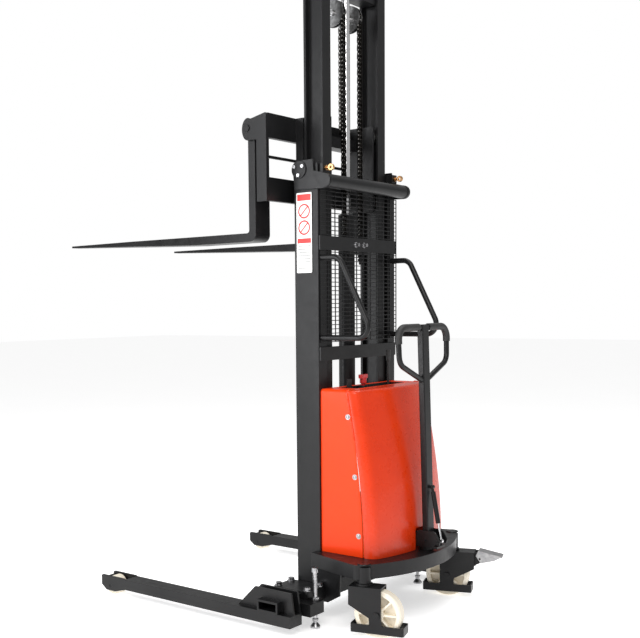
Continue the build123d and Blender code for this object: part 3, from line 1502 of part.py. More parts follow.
# gas spring on the back of the post: the tube is hung from the post, its rod points at the clevis
gas_axis = (Vector(0, *gas_foot) - Vector(0, *gas_top)).normalized()
gas_length = (Vector(0, *gas_foot) - Vector(0, *gas_top)).length
gas_plane = Plane(origin=(0, *gas_top), x_dir=(1, 0, 0), z_dir=gas_axis)
gas_tube_start = 18.0
gas_tube_length = 124.0
gas_tube_radius = 9.0
gas_rod_radius = 4.0
eye_radius = 8.0
with BuildPart() as gas_spring:
    with BuildSketch(gas_plane.offset(gas_tube_start)):
        Circle(gas_tube_radius)
    extrude(amount=gas_tube_length)
    with BuildSketch(gas_plane.offset(gas_tube_start)):
        Circle(5.0)
    extrude(amount=-gas_tube_start)
    with BuildSketch(Plane.YZ):
        with Locations(gas_top):
            Circle(eye_radius)
    extrude(amount=6.0, both=True)
    with BuildSketch(gas_plane.offset(gas_tube_start + 6.0)):
        Circle(gas_rod_radius + fit)
    extrude(amount=gas_tube_length, mode=Mode.SUBTRACT)
    with BuildSketch(xz(gas_top[0] + 3.0)):
        with Locations((0, gas_top[1])):
            Circle(5.0 + gap + 0.7)
    extrude(amount=16.0, mode=Mode.SUBTRACT)
gas_spring.part.label = "gas_spring"
export_step(gas_spring.part, "parts/gas_spring.step")

with BuildPart() as gas_rod:
    with BuildSketch(gas_plane.offset(gas_tube_start + 70.0)):
        Circle(gas_rod_radius)
    extrude(amount=gas_length - gas_tube_start - 70.0)
    with BuildSketch(Plane.YZ):
        with Locations(gas_foot):
            Circle(eye_radius)
    extrude(amount=6.0, both=True)
gas_rod.part.label = "gas_rod"
export_step(gas_rod.part, "parts/gas_rod.step")
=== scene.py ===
"""Walkie stacker: finishes, fine pieces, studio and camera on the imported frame."""
from math import cos, pi, radians, sin

import bpy
from mathutils import Matrix, Vector


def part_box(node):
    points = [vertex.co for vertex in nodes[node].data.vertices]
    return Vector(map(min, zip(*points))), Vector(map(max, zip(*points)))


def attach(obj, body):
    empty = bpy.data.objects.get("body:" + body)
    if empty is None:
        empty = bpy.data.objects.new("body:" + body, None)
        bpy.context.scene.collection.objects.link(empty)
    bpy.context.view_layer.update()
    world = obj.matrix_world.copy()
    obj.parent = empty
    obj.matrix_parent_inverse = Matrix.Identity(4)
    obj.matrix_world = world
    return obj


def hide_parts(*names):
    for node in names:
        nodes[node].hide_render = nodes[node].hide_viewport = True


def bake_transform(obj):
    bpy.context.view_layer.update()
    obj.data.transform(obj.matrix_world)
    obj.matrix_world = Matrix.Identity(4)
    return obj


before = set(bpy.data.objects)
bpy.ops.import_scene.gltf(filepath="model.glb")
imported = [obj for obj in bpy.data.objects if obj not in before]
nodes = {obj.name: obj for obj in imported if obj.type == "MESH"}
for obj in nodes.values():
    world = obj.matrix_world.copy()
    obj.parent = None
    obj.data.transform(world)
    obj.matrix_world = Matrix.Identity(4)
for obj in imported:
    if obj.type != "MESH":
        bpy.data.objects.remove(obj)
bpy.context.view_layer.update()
bpy.ops.object.select_all(action="DESELECT")

FLOOR_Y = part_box("leg_left")[0][1]  # rear end of the straddle legs


def at(x, y, z):
    """A place in metres from millimetres, y counted forwards from the rear end of the legs."""
    return Vector((x / 1000, FLOOR_Y + y / 1000, z / 1000))


# ---------------------------------------------------------------- camera, lights, floor


def set_camera():
    turn, tilt, roll = radians(-50.98), radians(5.56), radians(-0.744)
    back = Vector((sin(turn) * cos(tilt), -cos(turn) * cos(tilt), sin(tilt)))
    level = (-back).cross(Vector((0, 0, 1))).normalized()
    upright = level.cross(-back)
    right = level * cos(roll) + upright * sin(roll)
    up = upright * cos(roll) - level * sin(roll)
    data = bpy.data.cameras.new("studio_camera")
    data.sensor_width = 36.0
    data.lens = 56.6
    data.shift_x = 0.0914
    data.shift_y = 0.1345
    data.clip_end = 60.0
    camera = bpy.data.objects.new("studio_camera", data)
    bpy.context.scene.collection.objects.link(camera)
    turned = Matrix((right, up, back)).transposed().to_4x4()
    camera.matrix_world = Matrix.Translation(at(-3417.6, -2210.2, 1225.1)) @ turned
    bpy.context.scene.camera = camera


def soft_light(name, place, target, size, power, tint):
    data = bpy.data.lights.new(name, "AREA")
    data.shape = "RECTANGLE"
    data.size, data.size_y = size
    data.energy = power
    data.color = tint
    lamp = bpy.data.objects.new(name, data)
    bpy.context.scene.collection.objects.link(lamp)
    lamp.location = place
    lamp.rotation_euler = (Vector(target) - Vector(place)).to_track_quat("-Z", "Y").to_euler()


AMBIENT_LIGHT = 0.42  # what the surroundings give to the object
BACKDROP_WHITE = 1.0  # how bright the background itself looks
FLOOR_GLOW = 0.55  # lifts the pale floor to the background's white


def set_studio():
    world = bpy.data.worlds.new("studio_white")
    bpy.context.scene.world = world
    world.use_nodes = True
    tree = world.node_tree
    white = (1.0, 1.0, 1.0, 1.0)
    sky = tree.nodes["Background"]
    sky.inputs["Color"].default_value = white
    sky.inputs["Strength"].default_value = AMBIENT_LIGHT
    backdrop = tree.nodes.new("ShaderNodeBackground")
    backdrop.inputs["Color"].default_value = white
    backdrop.inputs["Strength"].default_value = BACKDROP_WHITE
    seen = tree.nodes.new("ShaderNodeLightPath")
    blend = tree.nodes.new("ShaderNodeMixShader")
    tree.links.new(seen.outputs["Is Camera Ray"], blend.inputs[0])
    tree.links.new(sky.outputs[0], blend.inputs[1])
    tree.links.new(backdrop.outputs[0], blend.inputs[2])
    tree.links.new(blend.outputs[0], tree.nodes["World Output"].inputs["Surface"])
    soft_light("key_softbox", (-3.2, -2.4, 3.6), (0, 0, 1.0), (2.4, 2.4), 105, (1.0, 0.98, 0.96))
    soft_light("side_softbox", (-3.6, 1.2, 1.8), (0, 0, 1.1), (1.4, 2.8), 90, (0.97, 0.98, 1.0))
    soft_light("top_softbox", (0.6, -0.4, 4.6), (0, 0, 0), (3.0, 3.0), 110, (1.0, 1.0, 1.0))
    bpy.ops.mesh.primitive_plane_add(size=60.0, location=(0, 0, -0.0005))
    floor = bpy.context.active_object
    floor.name = "studio_floor"
    bpy.ops.object.transform_apply(location=True, rotation=True, scale=True)
    floor.data.materials.append(pale_floor())
    bpy.ops.object.select_all(action="DESELECT")
    bpy.context.scene.view_settings.view_transform = "Standard"


# ---------------------------------------------------------------- finishes


def new_finish(name):
    """An empty finish: its node tree, its shader and its Object coordinates."""
    material = bpy.data.materials.new(name)
    material.use_nodes = True
    tree = material.node_tree
    shader = tree.nodes["Principled BSDF"]
    place = tree.nodes.new("ShaderNodeTexCoord")
    return material, tree, shader, place.outputs["Object"]


def noise(tree, place, scale, detail=4.0, rough=0.55):
    node = tree.nodes.new("ShaderNodeTexNoise")
    node.inputs["Scale"].default_value = scale
    node.inputs["Detail"].default_value = detail
    node.inputs["Roughness"].default_value = rough
    tree.links.new(place, node.inputs["Vector"])
    return node.outputs["Fac"]


def ramp(tree, factor, stops):
    node = tree.nodes.new("ShaderNodeValToRGB")
    steps = node.color_ramp.elements
    while len(steps) < len(stops):
        steps.new(0.5)
    for step, (position, colour) in zip(steps, stops):
        step.position = position
        step.color = (*colour, 1.0)
    tree.links.new(factor, node.inputs["Fac"])
    return node.outputs["Color"]


def spread(tree, factor, low, high):
    node = tree.nodes.new("ShaderNodeMapRange")
    node.inputs["From Min"].default_value = 0.3
    node.inputs["From Max"].default_value = 0.7
    node.inputs["To Min"].default_value = low
    node.inputs["To Max"].default_value = high
    tree.links.new(factor, node.inputs["Value"])
    return node.outputs["Result"]


def bump(tree, height, strength, distance, after=None, edge=0.0):
    node = tree.nodes.new("ShaderNodeBump")
    node.inputs["Strength"].default_value = strength
    node.inputs["Distance"].default_value = distance
    tree.links.new(height, node.inputs["Height"])
    if after is not None:
        tree.links.new(after, node.inputs["Normal"])
    elif edge:
        rounding = tree.nodes.new("ShaderNodeBevel")
        rounding.samples = 4
        rounding.inputs["Radius"].default_value = edge
        tree.links.new(rounding.outputs["Normal"], node.inputs["Normal"])
    return node.outputs["Normal"]


def powder_coat(name, dark, light, shine, edge=0.0012, gloss=0.28):
    """Baked powder coat: fine orange peel, cloudy shine, a little dust in the colour."""
    material, tree, shader, place = new_finish(name)
    cloud = noise(tree, place, 5.0, 5.0)
    tree.links.new(ramp(tree, cloud, ((0.3, dark), (0.72, light))), shader.inputs["Base Color"])
    cloudy = spread(tree, noise(tree, place, 38.0, 3.0), shine - 0.05, shine + 0.07)
    tree.links.new(cloudy, shader.inputs["Roughness"])
    peel = noise(tree, place, 900.0, 2.0)
    tree.links.new(bump(tree, peel, 0.16, 0.0004, edge=edge), shader.inputs["Normal"])
    shader.inputs["Specular IOR Level"].default_value = gloss
    return material


def plated(name, dark, light, shine, metal=1.0, edge=0.0006):
    """Plated or bare steel: mottled colour and fine rubbed lines."""
    material, tree, shader, place = new_finish(name)
    mottle = noise(tree, place, 60.0, 6.0)
    tree.links.new(ramp(tree, mottle, ((0.32, dark), (0.7, light))), shader.inputs["Base Color"])
    uneven = spread(tree, noise(tree, place, 220.0, 3.0), shine - 0.06, shine + 0.1)
    tree.links.new(uneven, shader.inputs["Roughness"])
    rubbed = noise(tree, place, 1400.0, 2.0)
    tree.links.new(bump(tree, rubbed, 0.12, 0.0002, edge=edge), shader.inputs["Normal"])
    shader.inputs["Metallic"].default_value = metal
    return material


def moulded(name, dark, light, shine, grain=500.0, depth=0.12, coat=0.0, edge=0.001):
    """Moulded plastic or rubber: a fine grain and soft colour change."""
    material, tree, shader, place = new_finish(name)
    flow = noise(tree, place, 7.0, 4.0)
    tree.links.new(ramp(tree, flow, ((0.3, dark), (0.7, light))), shader.inputs["Base Color"])
    soft = spread(tree, noise(tree, place, 30.0, 3.0), shine - 0.04, shine + 0.06)
    tree.links.new(soft, shader.inputs["Roughness"])
    skin = noise(tree, place, grain, 3.0)
    tree.links.new(bump(tree, skin, depth, 0.0005, edge=edge), shader.inputs["Normal"])
    shader.inputs["Coat Weight"].default_value = coat
    return material


def pale_floor():
    material, tree, shader, place = new_finish("studio_floor_paint")
    wash = noise(tree, place, 1.5, 2.0)
    pale = ramp(tree, wash, ((0.3, (0.93, 0.93, 0.93)), (0.7, (0.95, 0.95, 0.95))))
    tree.links.new(pale, shader.inputs["Base Color"])
    shader.inputs["Roughness"].default_value = 0.9
    shader.inputs["Emission Color"].default_value = (1.0, 1.0, 1.0, 1.0)
    shader.inputs["Emission Strength"].default_value = FLOOR_GLOW
    return material


BLACK = powder_coat("black_powder_coat", (0.004, 0.004, 0.0045), (0.01, 0.01, 0.0105), 0.34)
LIFT_BLACK = powder_coat("mast_black_paint", (0.003, 0.003, 0.0035), (0.008, 0.008, 0.0085), 0.4)
ZINC = plated("zinc_plate", (0.3, 0.3, 0.31), (0.52, 0.52, 0.53), 0.28)
ROD = plated("hard_chrome", (0.84, 0.84, 0.85), (0.9, 0.9, 0.91), 0.08)
PALE_STEEL = plated("bare_pressed_steel", (0.34, 0.34, 0.35), (0.5, 0.5, 0.5), 0.42)
CHAIN = plated("oiled_chain_steel", (0.012, 0.011, 0.01), (0.04, 0.037, 0.034), 0.34)
PIN = plated("chain_pin_steel", (0.3, 0.29, 0.28), (0.55, 0.54, 0.52), 0.3)
WHEEL_STEEL = plated("turned_wheel_steel", (0.1, 0.1, 0.1), (0.24, 0.24, 0.24), 0.34)
BRASS = plated("yellow_passivated_steel", (0.46, 0.24, 0.1), (0.75, 0.46, 0.22), 0.28)
NYLON = moulded("cream_nylon", (0.72, 0.64, 0.5), (0.86, 0.8, 0.68), 0.42, 260.0, 0.08)
ORANGE = powder_coat(
    "orange_gloss_paint", (0.84, 0.044, 0.003), (0.88, 0.052, 0.004), 0.34, 0.0, 0.22
)
ORANGE_MOULD = moulded(
    "orange_moulding", (0.72, 0.058, 0.004), (0.8, 0.07, 0.006), 0.3, 420.0, 0.05, 0.25
)
BLACK_PLASTIC = moulded("black_moulding", (0.008, 0.008, 0.008), (0.018, 0.018, 0.018), 0.4)
GRIP_RUBBER = moulded("grip_rubber", (0.012, 0.012, 0.012), (0.024, 0.024, 0.024), 0.58, 800.0, 0.3)
HOSE_RUBBER = moulded("hose_rubber", (0.01, 0.01, 0.01), (0.02, 0.02, 0.02), 0.5, 700.0, 0.25)
RED_PLASTIC = moulded(
    "red_moulding", (0.6, 0.006, 0.008), (0.72, 0.012, 0.014), 0.28, 300.0, 0.05, 0.4
)
BATTERY_CASE = moulded("battery_case", (0.02, 0.02, 0.024), (0.045, 0.045, 0.05), 0.5)
TANK = moulded("tank_polyethylene", (0.66, 0.66, 0.62), (0.78, 0.78, 0.74), 0.45)

FINISH_OF = {
    "base_bolts": ZINC,
    "frame_bolts": ZINC,
    "cover_screws": ZINC,
    "stabiliser_left": ZINC,
    "stabiliser_right": ZINC,
    "gas_rod": ROD,
    "lift_rod": ROD,
    "chain_wheels": WHEEL_STEEL,
    "lift_chains": CHAIN,
    "inner_rollers": WHEEL_STEEL,
    "outer_rollers": WHEEL_STEEL,
    "carriage_rollers_lower": WHEEL_STEEL,
    "carriage_rollers_upper": WHEEL_STEEL,
    "ring_bolts": BRASS,
    "load_roller_left": NYLON,
    "load_roller_right": NYLON,
    "caster_wheel_left": NYLON,
    "caster_wheel_right": NYLON,
    "front_cover": ORANGE,
    "rear_cover": ORANGE_MOULD,
    "control_panel": BLACK_PLASTIC,
    "key": BLACK_PLASTIC,
    "lift_lever": BLACK_PLASTIC,
    "battery_switch": RED_PLASTIC,
    "battery": BATTERY_CASE,
    "oil_tank": TANK,
    "hydraulic_hose": HOSE_RUBBER,
    "tiller_grips": GRIP_RUBBER,
    "brake_pedal": PALE_STEEL,
    "inner_uprights": LIFT_BLACK,
    "inner_ties": LIFT_BLACK,
    "lift_cylinder": LIFT_BLACK,
}


def finish_cad_nodes():
    for name, node in nodes.items():
        node.data.materials.clear()
        node.data.materials.append(FINISH_OF.get(name, BLACK))


set_camera()
set_studio()
finish_cad_nodes()

# ---------------------------------------------------------------- modelling helpers


def begin(adder, **sizes):
    """Adds a primitive with nothing else selected, and opens it for editing."""
    bpy.ops.object.select_all(action="DESELECT")
    adder(**sizes)
    piece = bpy.context.active_object
    bpy.ops.object.mode_set(mode="EDIT")
    bpy.ops.mesh.select_mode(type="VERT")
    return piece


def pick(piece, test, kind="faces"):
    """Selects only the faces, edges or vertices that pass the test."""
    bpy.ops.mesh.select_mode(type={"faces": "FACE", "edges": "EDGE", "verts": "VERT"}[kind])
    bpy.ops.mesh.select_all(action="DESELECT")
    bpy.ops.object.mode_set(mode="OBJECT")
    mesh = piece.data
    for part in {"faces": mesh.polygons, "edges": mesh.edges, "verts": mesh.vertices}[kind]:
        part.select = bool(test(part))
    bpy.ops.object.mode_set(mode="EDIT")


def done(piece, name, finish, body=None, stands_for=(), smooth=32.0):
    """Closes the piece: names it, sets its place in its mesh, and hangs it on its body."""
    if piece.mode == "EDIT":
        bpy.ops.object.mode_set(mode="OBJECT")
    bpy.ops.object.select_all(action="DESELECT")
    piece.select_set(True)
    bpy.context.view_layer.objects.active = piece
    bpy.ops.object.transform_apply(location=True, rotation=True, scale=True)
    if smooth:
        bpy.ops.object.shade_smooth_by_angle(angle=radians(smooth))
    piece.name = name
    piece.data.name = name
    piece.data.materials.clear()
    piece.data.materials.append(finish)
    piece.select_set(False)
    if body:
        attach(piece, body)
    if stands_for:
        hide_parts(*stands_for)
    return piece


def settle(piece, kind, name, **values):
    """Adds a modifier and applies it at once."""
    if piece.mode == "EDIT":
        bpy.ops.object.mode_set(mode="OBJECT")
    modifier = piece.modifiers.new(name, kind)
    for key, value in values.items():
        setattr(modifier, key, value)
    bpy.context.view_layer.objects.active = piece
    bpy.ops.object.modifier_apply(modifier=modifier.name)


def copies(name, model, places, finish, body, stands_for=()):
    """One piece made of a copy of the model at each place."""
    points, faces, smooth = [], [], []
    for place in places:
        first = len(points)
        points.extend(place @ v.co for v in model.data.vertices)
        faces.extend([first + i for i in f.vertices] for f in model.data.polygons)
        smooth.extend(f.use_smooth for f in model.data.polygons)
    mesh = bpy.data.meshes.new(name)
    mesh.from_pydata(points, [], faces)
    mesh.polygons.foreach_set("use_smooth", smooth)
    piece = bpy.data.objects.new(name, mesh)
    bpy.context.scene.collection.objects.link(piece)
    return done(piece, name, finish, body, stands_for, smooth=0)


def scrap(*pieces):
    for piece in pieces:
        bpy.data.meshes.remove(piece.data)


def facing(place, axis, turn=0.0):
    """A matrix that carries a piece modelled along +Z to a place, pointing along axis."""
    tilt = Vector(axis).to_track_quat("Z", "Y").to_matrix().to_4x4()
    return Matrix.Translation(place) @ tilt @ Matrix.Rotation(turn, 4, "Z")


# ---------------------------------------------------------------- covers
COVER_HALF = 266.0
COVER_LOW, COVER_TOP = 270.3, 908.0
COVER_FRONT = 49.5
EDGE_ROUND = 13.0
REAR_BULGE = 46.0
CORNER_ROUND = 38.0
STRAIGHT_SIDE = COVER_TOP - EDGE_ROUND - COVER_LOW
DOOR_HALF, DOOR_TOP = 0.033, 0.355


def cover_drop(z):
    return sin(radians(90.0 * (COVER_TOP - z) / (COVER_TOP - COVER_LOW)))


def rear_corner(z):
    return -106.0 - 85.0 * cover_drop(z)


def seam(z):
    return -78.0 - 64.0 * cover_drop(z)


def rear_outline(z, inset):
    """Half of the rear cover's outline at a height: from the left seam to the middle of the back."""
    half, corner = COVER_HALF - inset, rear_corner(z) + inset
    start = seam(z)
    line = [(-half, start + (corner + CORNER_ROUND - start) * k / 6) for k in range(6)]
    to_x = -half + CORNER_ROUND
    to_y = corner - REAR_BULGE * (1 - (to_x / half) ** 2)
    for k in range(9):
        t = k / 8
        x = (1 - t) ** 2 * -half + 2 * t * (1 - t) * -half + t * t * to_x
        y = (1 - t) ** 2 * (corner + CORNER_ROUND) + 2 * t * (1 - t) * (corner - 2.0) + t * t * to_y
        line.append((x, y))
    for k in range(1, 13):
        x = to_x * (1 - k / 12)
        line.append((x, corner - REAR_BULGE * (1 - (x / half) ** 2)))
    return line


def rear_cover_rows():
    rows = []
    for k in range(27):
        z = COVER_LOW + STRAIGHT_SIDE * k / 26
        rows.append([(x, y, z) for x, y in rear_outline(z, 0.0)])
    for k in range(1, 7):
        lean = radians(15.0 * k)
        z = COVER_TOP - EDGE_ROUND * (1 - sin(lean))
        rows.append([(x, y, z) for x, y in rear_outline(z, EDGE_ROUND * (1 - cos(lean)))])
    brim = rows[-1]
    for t in (0.35, 0.7, 1.0):
        rows.append([(x, y + (seam(COVER_TOP) - y) * t, COVER_TOP) for x, y, z in brim])
    return [row + [(-x, y, z) for x, y, z in reversed(row[:-1])] for row in rows]


def shape_grid(name, rows):
    """A grid primitive whose points are drawn to the rows given, in millimetres."""
    across, along = len(rows[0]), len(rows)
    piece = begin(
        bpy.ops.mesh.primitive_grid_add, x_subdivisions=across - 1, y_subdivisions=along - 1, size=1.0
    )
    bpy.ops.object.mode_set(mode="OBJECT")
    for index, point in enumerate(piece.data.vertices):
        point.co = at(*rows[index // across][index % across])
    piece.name = name
    return piece


def make_rear_cover():
    rows = rear_cover_rows()
    # the sides dip in behind the seam before they swell to the outline
    dipped = []
    for row in rows:
        new = []
        for k, (x, y, z) in enumerate(row):
            from_seam = min(k, len(row) - 1 - k)
            dip = (4.0, 4.6, 2.2, 0.6)[from_seam] if from_seam < 4 else 0.0
            new.append((x - dip if x > 0 else x + dip, y, z))
        dipped.append(new)
    cover = shape_grid("rear_cover_skin", dipped)
    band = cover.data.attributes.new("seam_band", "FLOAT", "POINT")
    across = len(rows[0])
    for index in range(len(cover.data.vertices)):
        from_seam = min(index % across, across - 1 - index % across)
        band.data[index].value = 1.0 if from_seam < 2 else 0.0
    bpy.ops.object.mode_set(mode="EDIT")
    bpy.ops.mesh.select_all(action="SELECT")
    bpy.ops.mesh.remove_doubles(threshold=0.00005)
    bpy.ops.mesh.normals_make_consistent(inside=False)
    # doorway at the foot for the tiller's clevis
    cuts = (
        ((-DOOR_HALF, 0, 0), (1, 0, 0)),
        ((DOOR_HALF, 0, 0), (1, 0, 0)),
        ((0, 0, DOOR_TOP), (0, 0, 1)),
    )
    for place, normal in cuts:
        bpy.ops.mesh.select_all(action="SELECT")
        bpy.ops.mesh.bisect(plane_co=place, plane_no=normal)
    back_y = at(0, -200.0, 0).y

    def in_doorway(face):
        middle = face.center
        return abs(middle.x) < DOOR_HALF and middle.z < DOOR_TOP and middle.y < back_y

    pick(cover, in_doorway)
    bpy.ops.mesh.delete(type="FACE")
    settle(cover, "SUBSURF", "even_skin", levels=1, render_levels=1)
    settle(cover, "SOLIDIFY", "wall", thickness=0.003, offset=-1.0)
    return done(cover, "rear_cover_skin", REAR_SKIN_SHADED, "chassis", ("rear_cover",))


def front_arch():
    """The front cover's section across the machine: side, rounded edge, top, rounded edge, side."""
    side = [(-COVER_HALF, COVER_LOW + STRAIGHT_SIDE * k / 14) for k in range(15)]
    edge = []
    for k in range(1, 7):
        lean = radians(15.0 * k)
        in_by, down_by = EDGE_ROUND * (1 - cos(lean)), EDGE_ROUND * (1 - sin(lean))
        edge.append((-COVER_HALF + in_by, COVER_TOP - down_by))
    top = [(x, COVER_TOP) for x in (-222.0, -178.0, -120.0, -60.0, 0.0)]
    half = side + edge + top
    return half + [(-x, z) for x, z in reversed(half[:-1])]


def make_front_cover():
    steps = (0.0, 0.121, 0.3, 0.55, 0.8, 0.9, 0.97, 1.0)
    arch = front_arch()
    rows = []
    for t in steps:
        rows.append([(x, seam(z) + 0.6 + (COVER_FRONT - seam(z) - 0.6) * t, z) for x, z in arch])
    # flange that turns in behind the mast
    flange = []
    for x, z in arch:
        inner_z = min(z, COVER_TOP - 30.0)
        inner_x = max(-COVER_HALF + 30.0, min(COVER_HALF - 30.0, x))
        flange.append((inner_x, COVER_FRONT, inner_z))
    rows.append(flange)
    cover = shape_grid("front_cover_skin", rows)
    bpy.ops.object.mode_set(mode="EDIT")
    low_y, high_y = at(0, -63.5, 0).y, at(0, 27.0, 0).y
    pick(
        cover,
        lambda f: f.center.z > 0.9079 and abs(f.center.x) < 0.178 and low_y < f.center.y < high_y,
    )
    bpy.ops.mesh.delete(type="FACE")
    bpy.ops.mesh.select_all(action="SELECT")
    bpy.ops.mesh.normals_make_consistent(inside=False)
    settle(cover, "SOLIDIFY", "sheet", thickness=0.003, offset=-1.0)
    settle(
        cover,
        "BEVEL",
        "sheet_edges",
        width=0.0012,
        segments=2,
        limit_method="ANGLE",
        angle_limit=radians(50),
    )
    return done(cover, "front_cover_skin", ORANGE, "chassis", ("front_cover",))


def seam_band_finish():
    """The orange moulding with a pebbled band beside the seam; its plain orange is darker than the
    front cover's, as painted shade on the rear-facing cover.
    """
    material, tree, shader, place = new_finish("orange_moulding_shaded_with_band")
    flow = noise(tree, place, 7.0, 4.0)
    # painted shade: the plain orange is darker than the front cover's, standing in for the weaker
    # light on the rear-facing cover
    shaded_orange = ramp(tree, flow, ((0.3, (0.6, 0.032, 0.003)), (0.7, (0.67, 0.04, 0.004))))
    pebbles = noise(tree, place, 420.0, 3.0, 0.7)
    # painted highlights: the band's raised pebbles get a lighter, yellower orange, standing in for
    # light catching their tops
    highlit_pebbles = ramp(tree, pebbles, ((0.42, (0.62, 0.035, 0.004)), (0.62, (0.95, 0.2, 0.05))))
    band = tree.nodes.new("ShaderNodeAttribute")
    band.attribute_name = "seam_band"
    mix = tree.nodes.new("ShaderNodeMix")
    mix.data_type = "RGBA"
    tree.links.new(band.outputs["Fac"], mix.inputs["Factor"])
    tree.links.new(shaded_orange, mix.inputs["A"])
    tree.links.new(highlit_pebbles, mix.inputs["B"])
    tree.links.new(mix.outputs["Result"], shader.inputs["Base Color"])
    depth = tree.nodes.new("ShaderNodeMath")
    depth.operation = "MULTIPLY"
    tree.links.new(pebbles, depth.inputs[0])
    tree.links.new(band.outputs["Fac"], depth.inputs[1])
    rolled = noise(tree, place, 9.0, 2.0)
    first = bump(tree, rolled, 0.25, 0.003)
    pebbled = bump(tree, depth.outputs["Value"], 0.7, 0.002, after=first)
    tree.links.new(pebbled, shader.inputs["Normal"])
    soft = spread(tree, noise(tree, place, 30.0, 3.0), 0.24, 0.34)
    tree.links.new(soft, shader.inputs["Roughness"])
    shader.inputs["Specular IOR Level"].default_value = 0.3
    shader.inputs["Coat Weight"].default_value = 0.12
    return material


# the rear cover's finish, its orange darkened as painted shade
REAR_SKIN_SHADED = seam_band_finish()
make_rear_cover()
make_front_cover()

# ---------------------------------------------------------------- hydraulic hose
HOSE_ROUTE = (
    (110.0, 14.0, 473.0),
    (110.0, 46.0, 473.0),
    (116.0, 72.0, 438.0),
    (118.0, 88.0, 392.0),
    (115.0, 100.0, 347.0),
    (96.0, 106.0, 300.0),
    (47.0, 106.0, 300.0),
)
HOSE_THICK = 0.013


def make_hose():
    """The pressure hose from the pump's valve down to the foot of the lift cylinder."""
    line = bpy.data.curves.new("hydraulic_hose_line", "CURVE")
    line.dimensions = "3D"
    line.resolution_u = 12
    line.bevel_depth = HOSE_THICK / 2
    line.bevel_resolution = 6
    line.use_fill_caps = True
    spline = line.splines.new("NURBS")
    spline.points.add(len(HOSE_ROUTE) - 1)
    for point, place in zip(spline.points, HOSE_ROUTE):
        point.co = (*at(*place), 1.0)
    spline.order_u = 3
    spline.use_endpoint_u = True
    hose = bpy.data.objects.new("hydraulic_hose_line", line)
    bpy.context.scene.collection.objects.link(hose)
    line.materials.append(HOSE_RUBBER)
    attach(hose, "chassis")
    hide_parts("hydraulic_hose")


make_hose()

# ---------------------------------------------------------------- lift chains
PITCH = 15.875
CHAIN_X = 58.0
WHEEL_Y, WHEEL_Z, WHEEL_R = 123.0, 2367.0, 45.0
CHAIN_REAR_END, CHAIN_FRONT_END = 1440.3, 1905.3


def chain_plate(half_gap, thickness, radius):
    """One pair of link plates, modelled along +Z from the pin at the origin to the next pin."""
    plate = begin(bpy.ops.mesh.primitive_cylinder_add, vertices=12, radius=radius, depth=thickness)
    bpy.ops.transform.rotate(value=pi / 2, orient_axis="Y", center_override=(0, 0, 0))
    pick(plate, lambda v: v.co.z > 0.0001, "verts")
    bpy.ops.transform.translate(value=(0, 0, PITCH / 1000))
    bpy.ops.mesh.select_all(action="SELECT")
    bpy.ops.transform.translate(value=(half_gap, 0, 0))
    bpy.ops.mesh.duplicate()
    bpy.ops.transform.translate(value=(-2 * half_gap, 0, 0))
    bpy.ops.object.mode_set(mode="OBJECT")
    return plate


def chain_pin():
    pin = begin(bpy.ops.mesh.primitive_cylinder_add, vertices=10, radius=0.0028, depth=0.0205)
    bpy.ops.transform.rotate(value=pi / 2, orient_axis="Y", center_override=(0, 0, 0))
    pick(pin, lambda f: abs(f.normal.x) > 0.9)
    bpy.ops.mesh.inset(thickness=0.0006, depth=0.0004)
    bpy.ops.object.mode_set(mode="OBJECT")
    return pin


def chain_stretch(start, length):
    """Pin places along the chain between two distances from its rear end."""
    rear_run = WHEEL_Z - CHAIN_REAR_END
    wrap = pi * WHEEL_R
    places = []
    count = int(length / PITCH)
    for k in range(count):
        s = start + k * PITCH
        if s < rear_run:
            y, z, lean = WHEEL_Y - WHEEL_R, CHAIN_REAR_END + s, 0.0
        elif s < rear_run + wrap:
            turn = (s - rear_run) / WHEEL_R
            y, z = WHEEL_Y - WHEEL_R * cos(turn), WHEEL_Z + WHEEL_R * sin(turn)
            lean = -turn - PITCH / WHEEL_R / 2
        else:
            y, z, lean = WHEEL_Y + WHEEL_R, WHEEL_Z - (s - rear_run - wrap), -pi
        places.append((y, z, lean))
    return places


def make_chains():
    outer = chain_plate(0.0084, 0.0019, 0.0072)
    inner = chain_plate(0.0058, 0.0019, 0.0069)
    pin = chain_pin()
    rear_run = WHEEL_Z - CHAIN_REAR_END
    wrap = pi * WHEEL_R
    first_wrap = int(rear_run / PITCH) * PITCH
    first_front = first_wrap + (int(wrap / PITCH) + 1) * PITCH
    total = rear_run + wrap + WHEEL_Z - CHAIN_FRONT_END
    stretches = (
        ("rear", 8.0, first_wrap - 8.0, "chassis", "inner_mast"),
        ("wheel", first_wrap, first_front - first_wrap, "inner_mast", None),
        ("front", first_front, total - first_front - 6.0, "inner_mast", "carriage"),
    )
    for stretch, start, length, body, far_body in stretches:
        pins = chain_stretch(start, length)
        for kind, model, wanted, finish in (
            ("outer_plates", outer, 0, CHAIN),
            ("inner_plates", inner, 1, CHAIN),
            ("pins", pin, None, PIN),
        ):
            places = []
            for sx in (-1, 1):
                for k, (y, z, lean) in enumerate(pins):
                    if wanted is None or k % 2 == wanted:
                        spot = Matrix.Translation(at(sx * CHAIN_X, y, z))
                        places.append(spot @ Matrix.Rotation(lean, 4, "X"))
            stands_for = ("lift_chains",) if (stretch, kind) == ("rear", "outer_plates") else ()
            ride_on = None if far_body else body
            name = f"chain_{stretch}_{kind}"
            piece = copies(name, model, places, finish, ride_on, stands_for)
            if far_body:
                y = WHEEL_Y - WHEEL_R if stretch == "rear" else WHEEL_Y + WHEEL_R
                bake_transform(piece)
    scrap(outer, inner, pin)


make_chains()
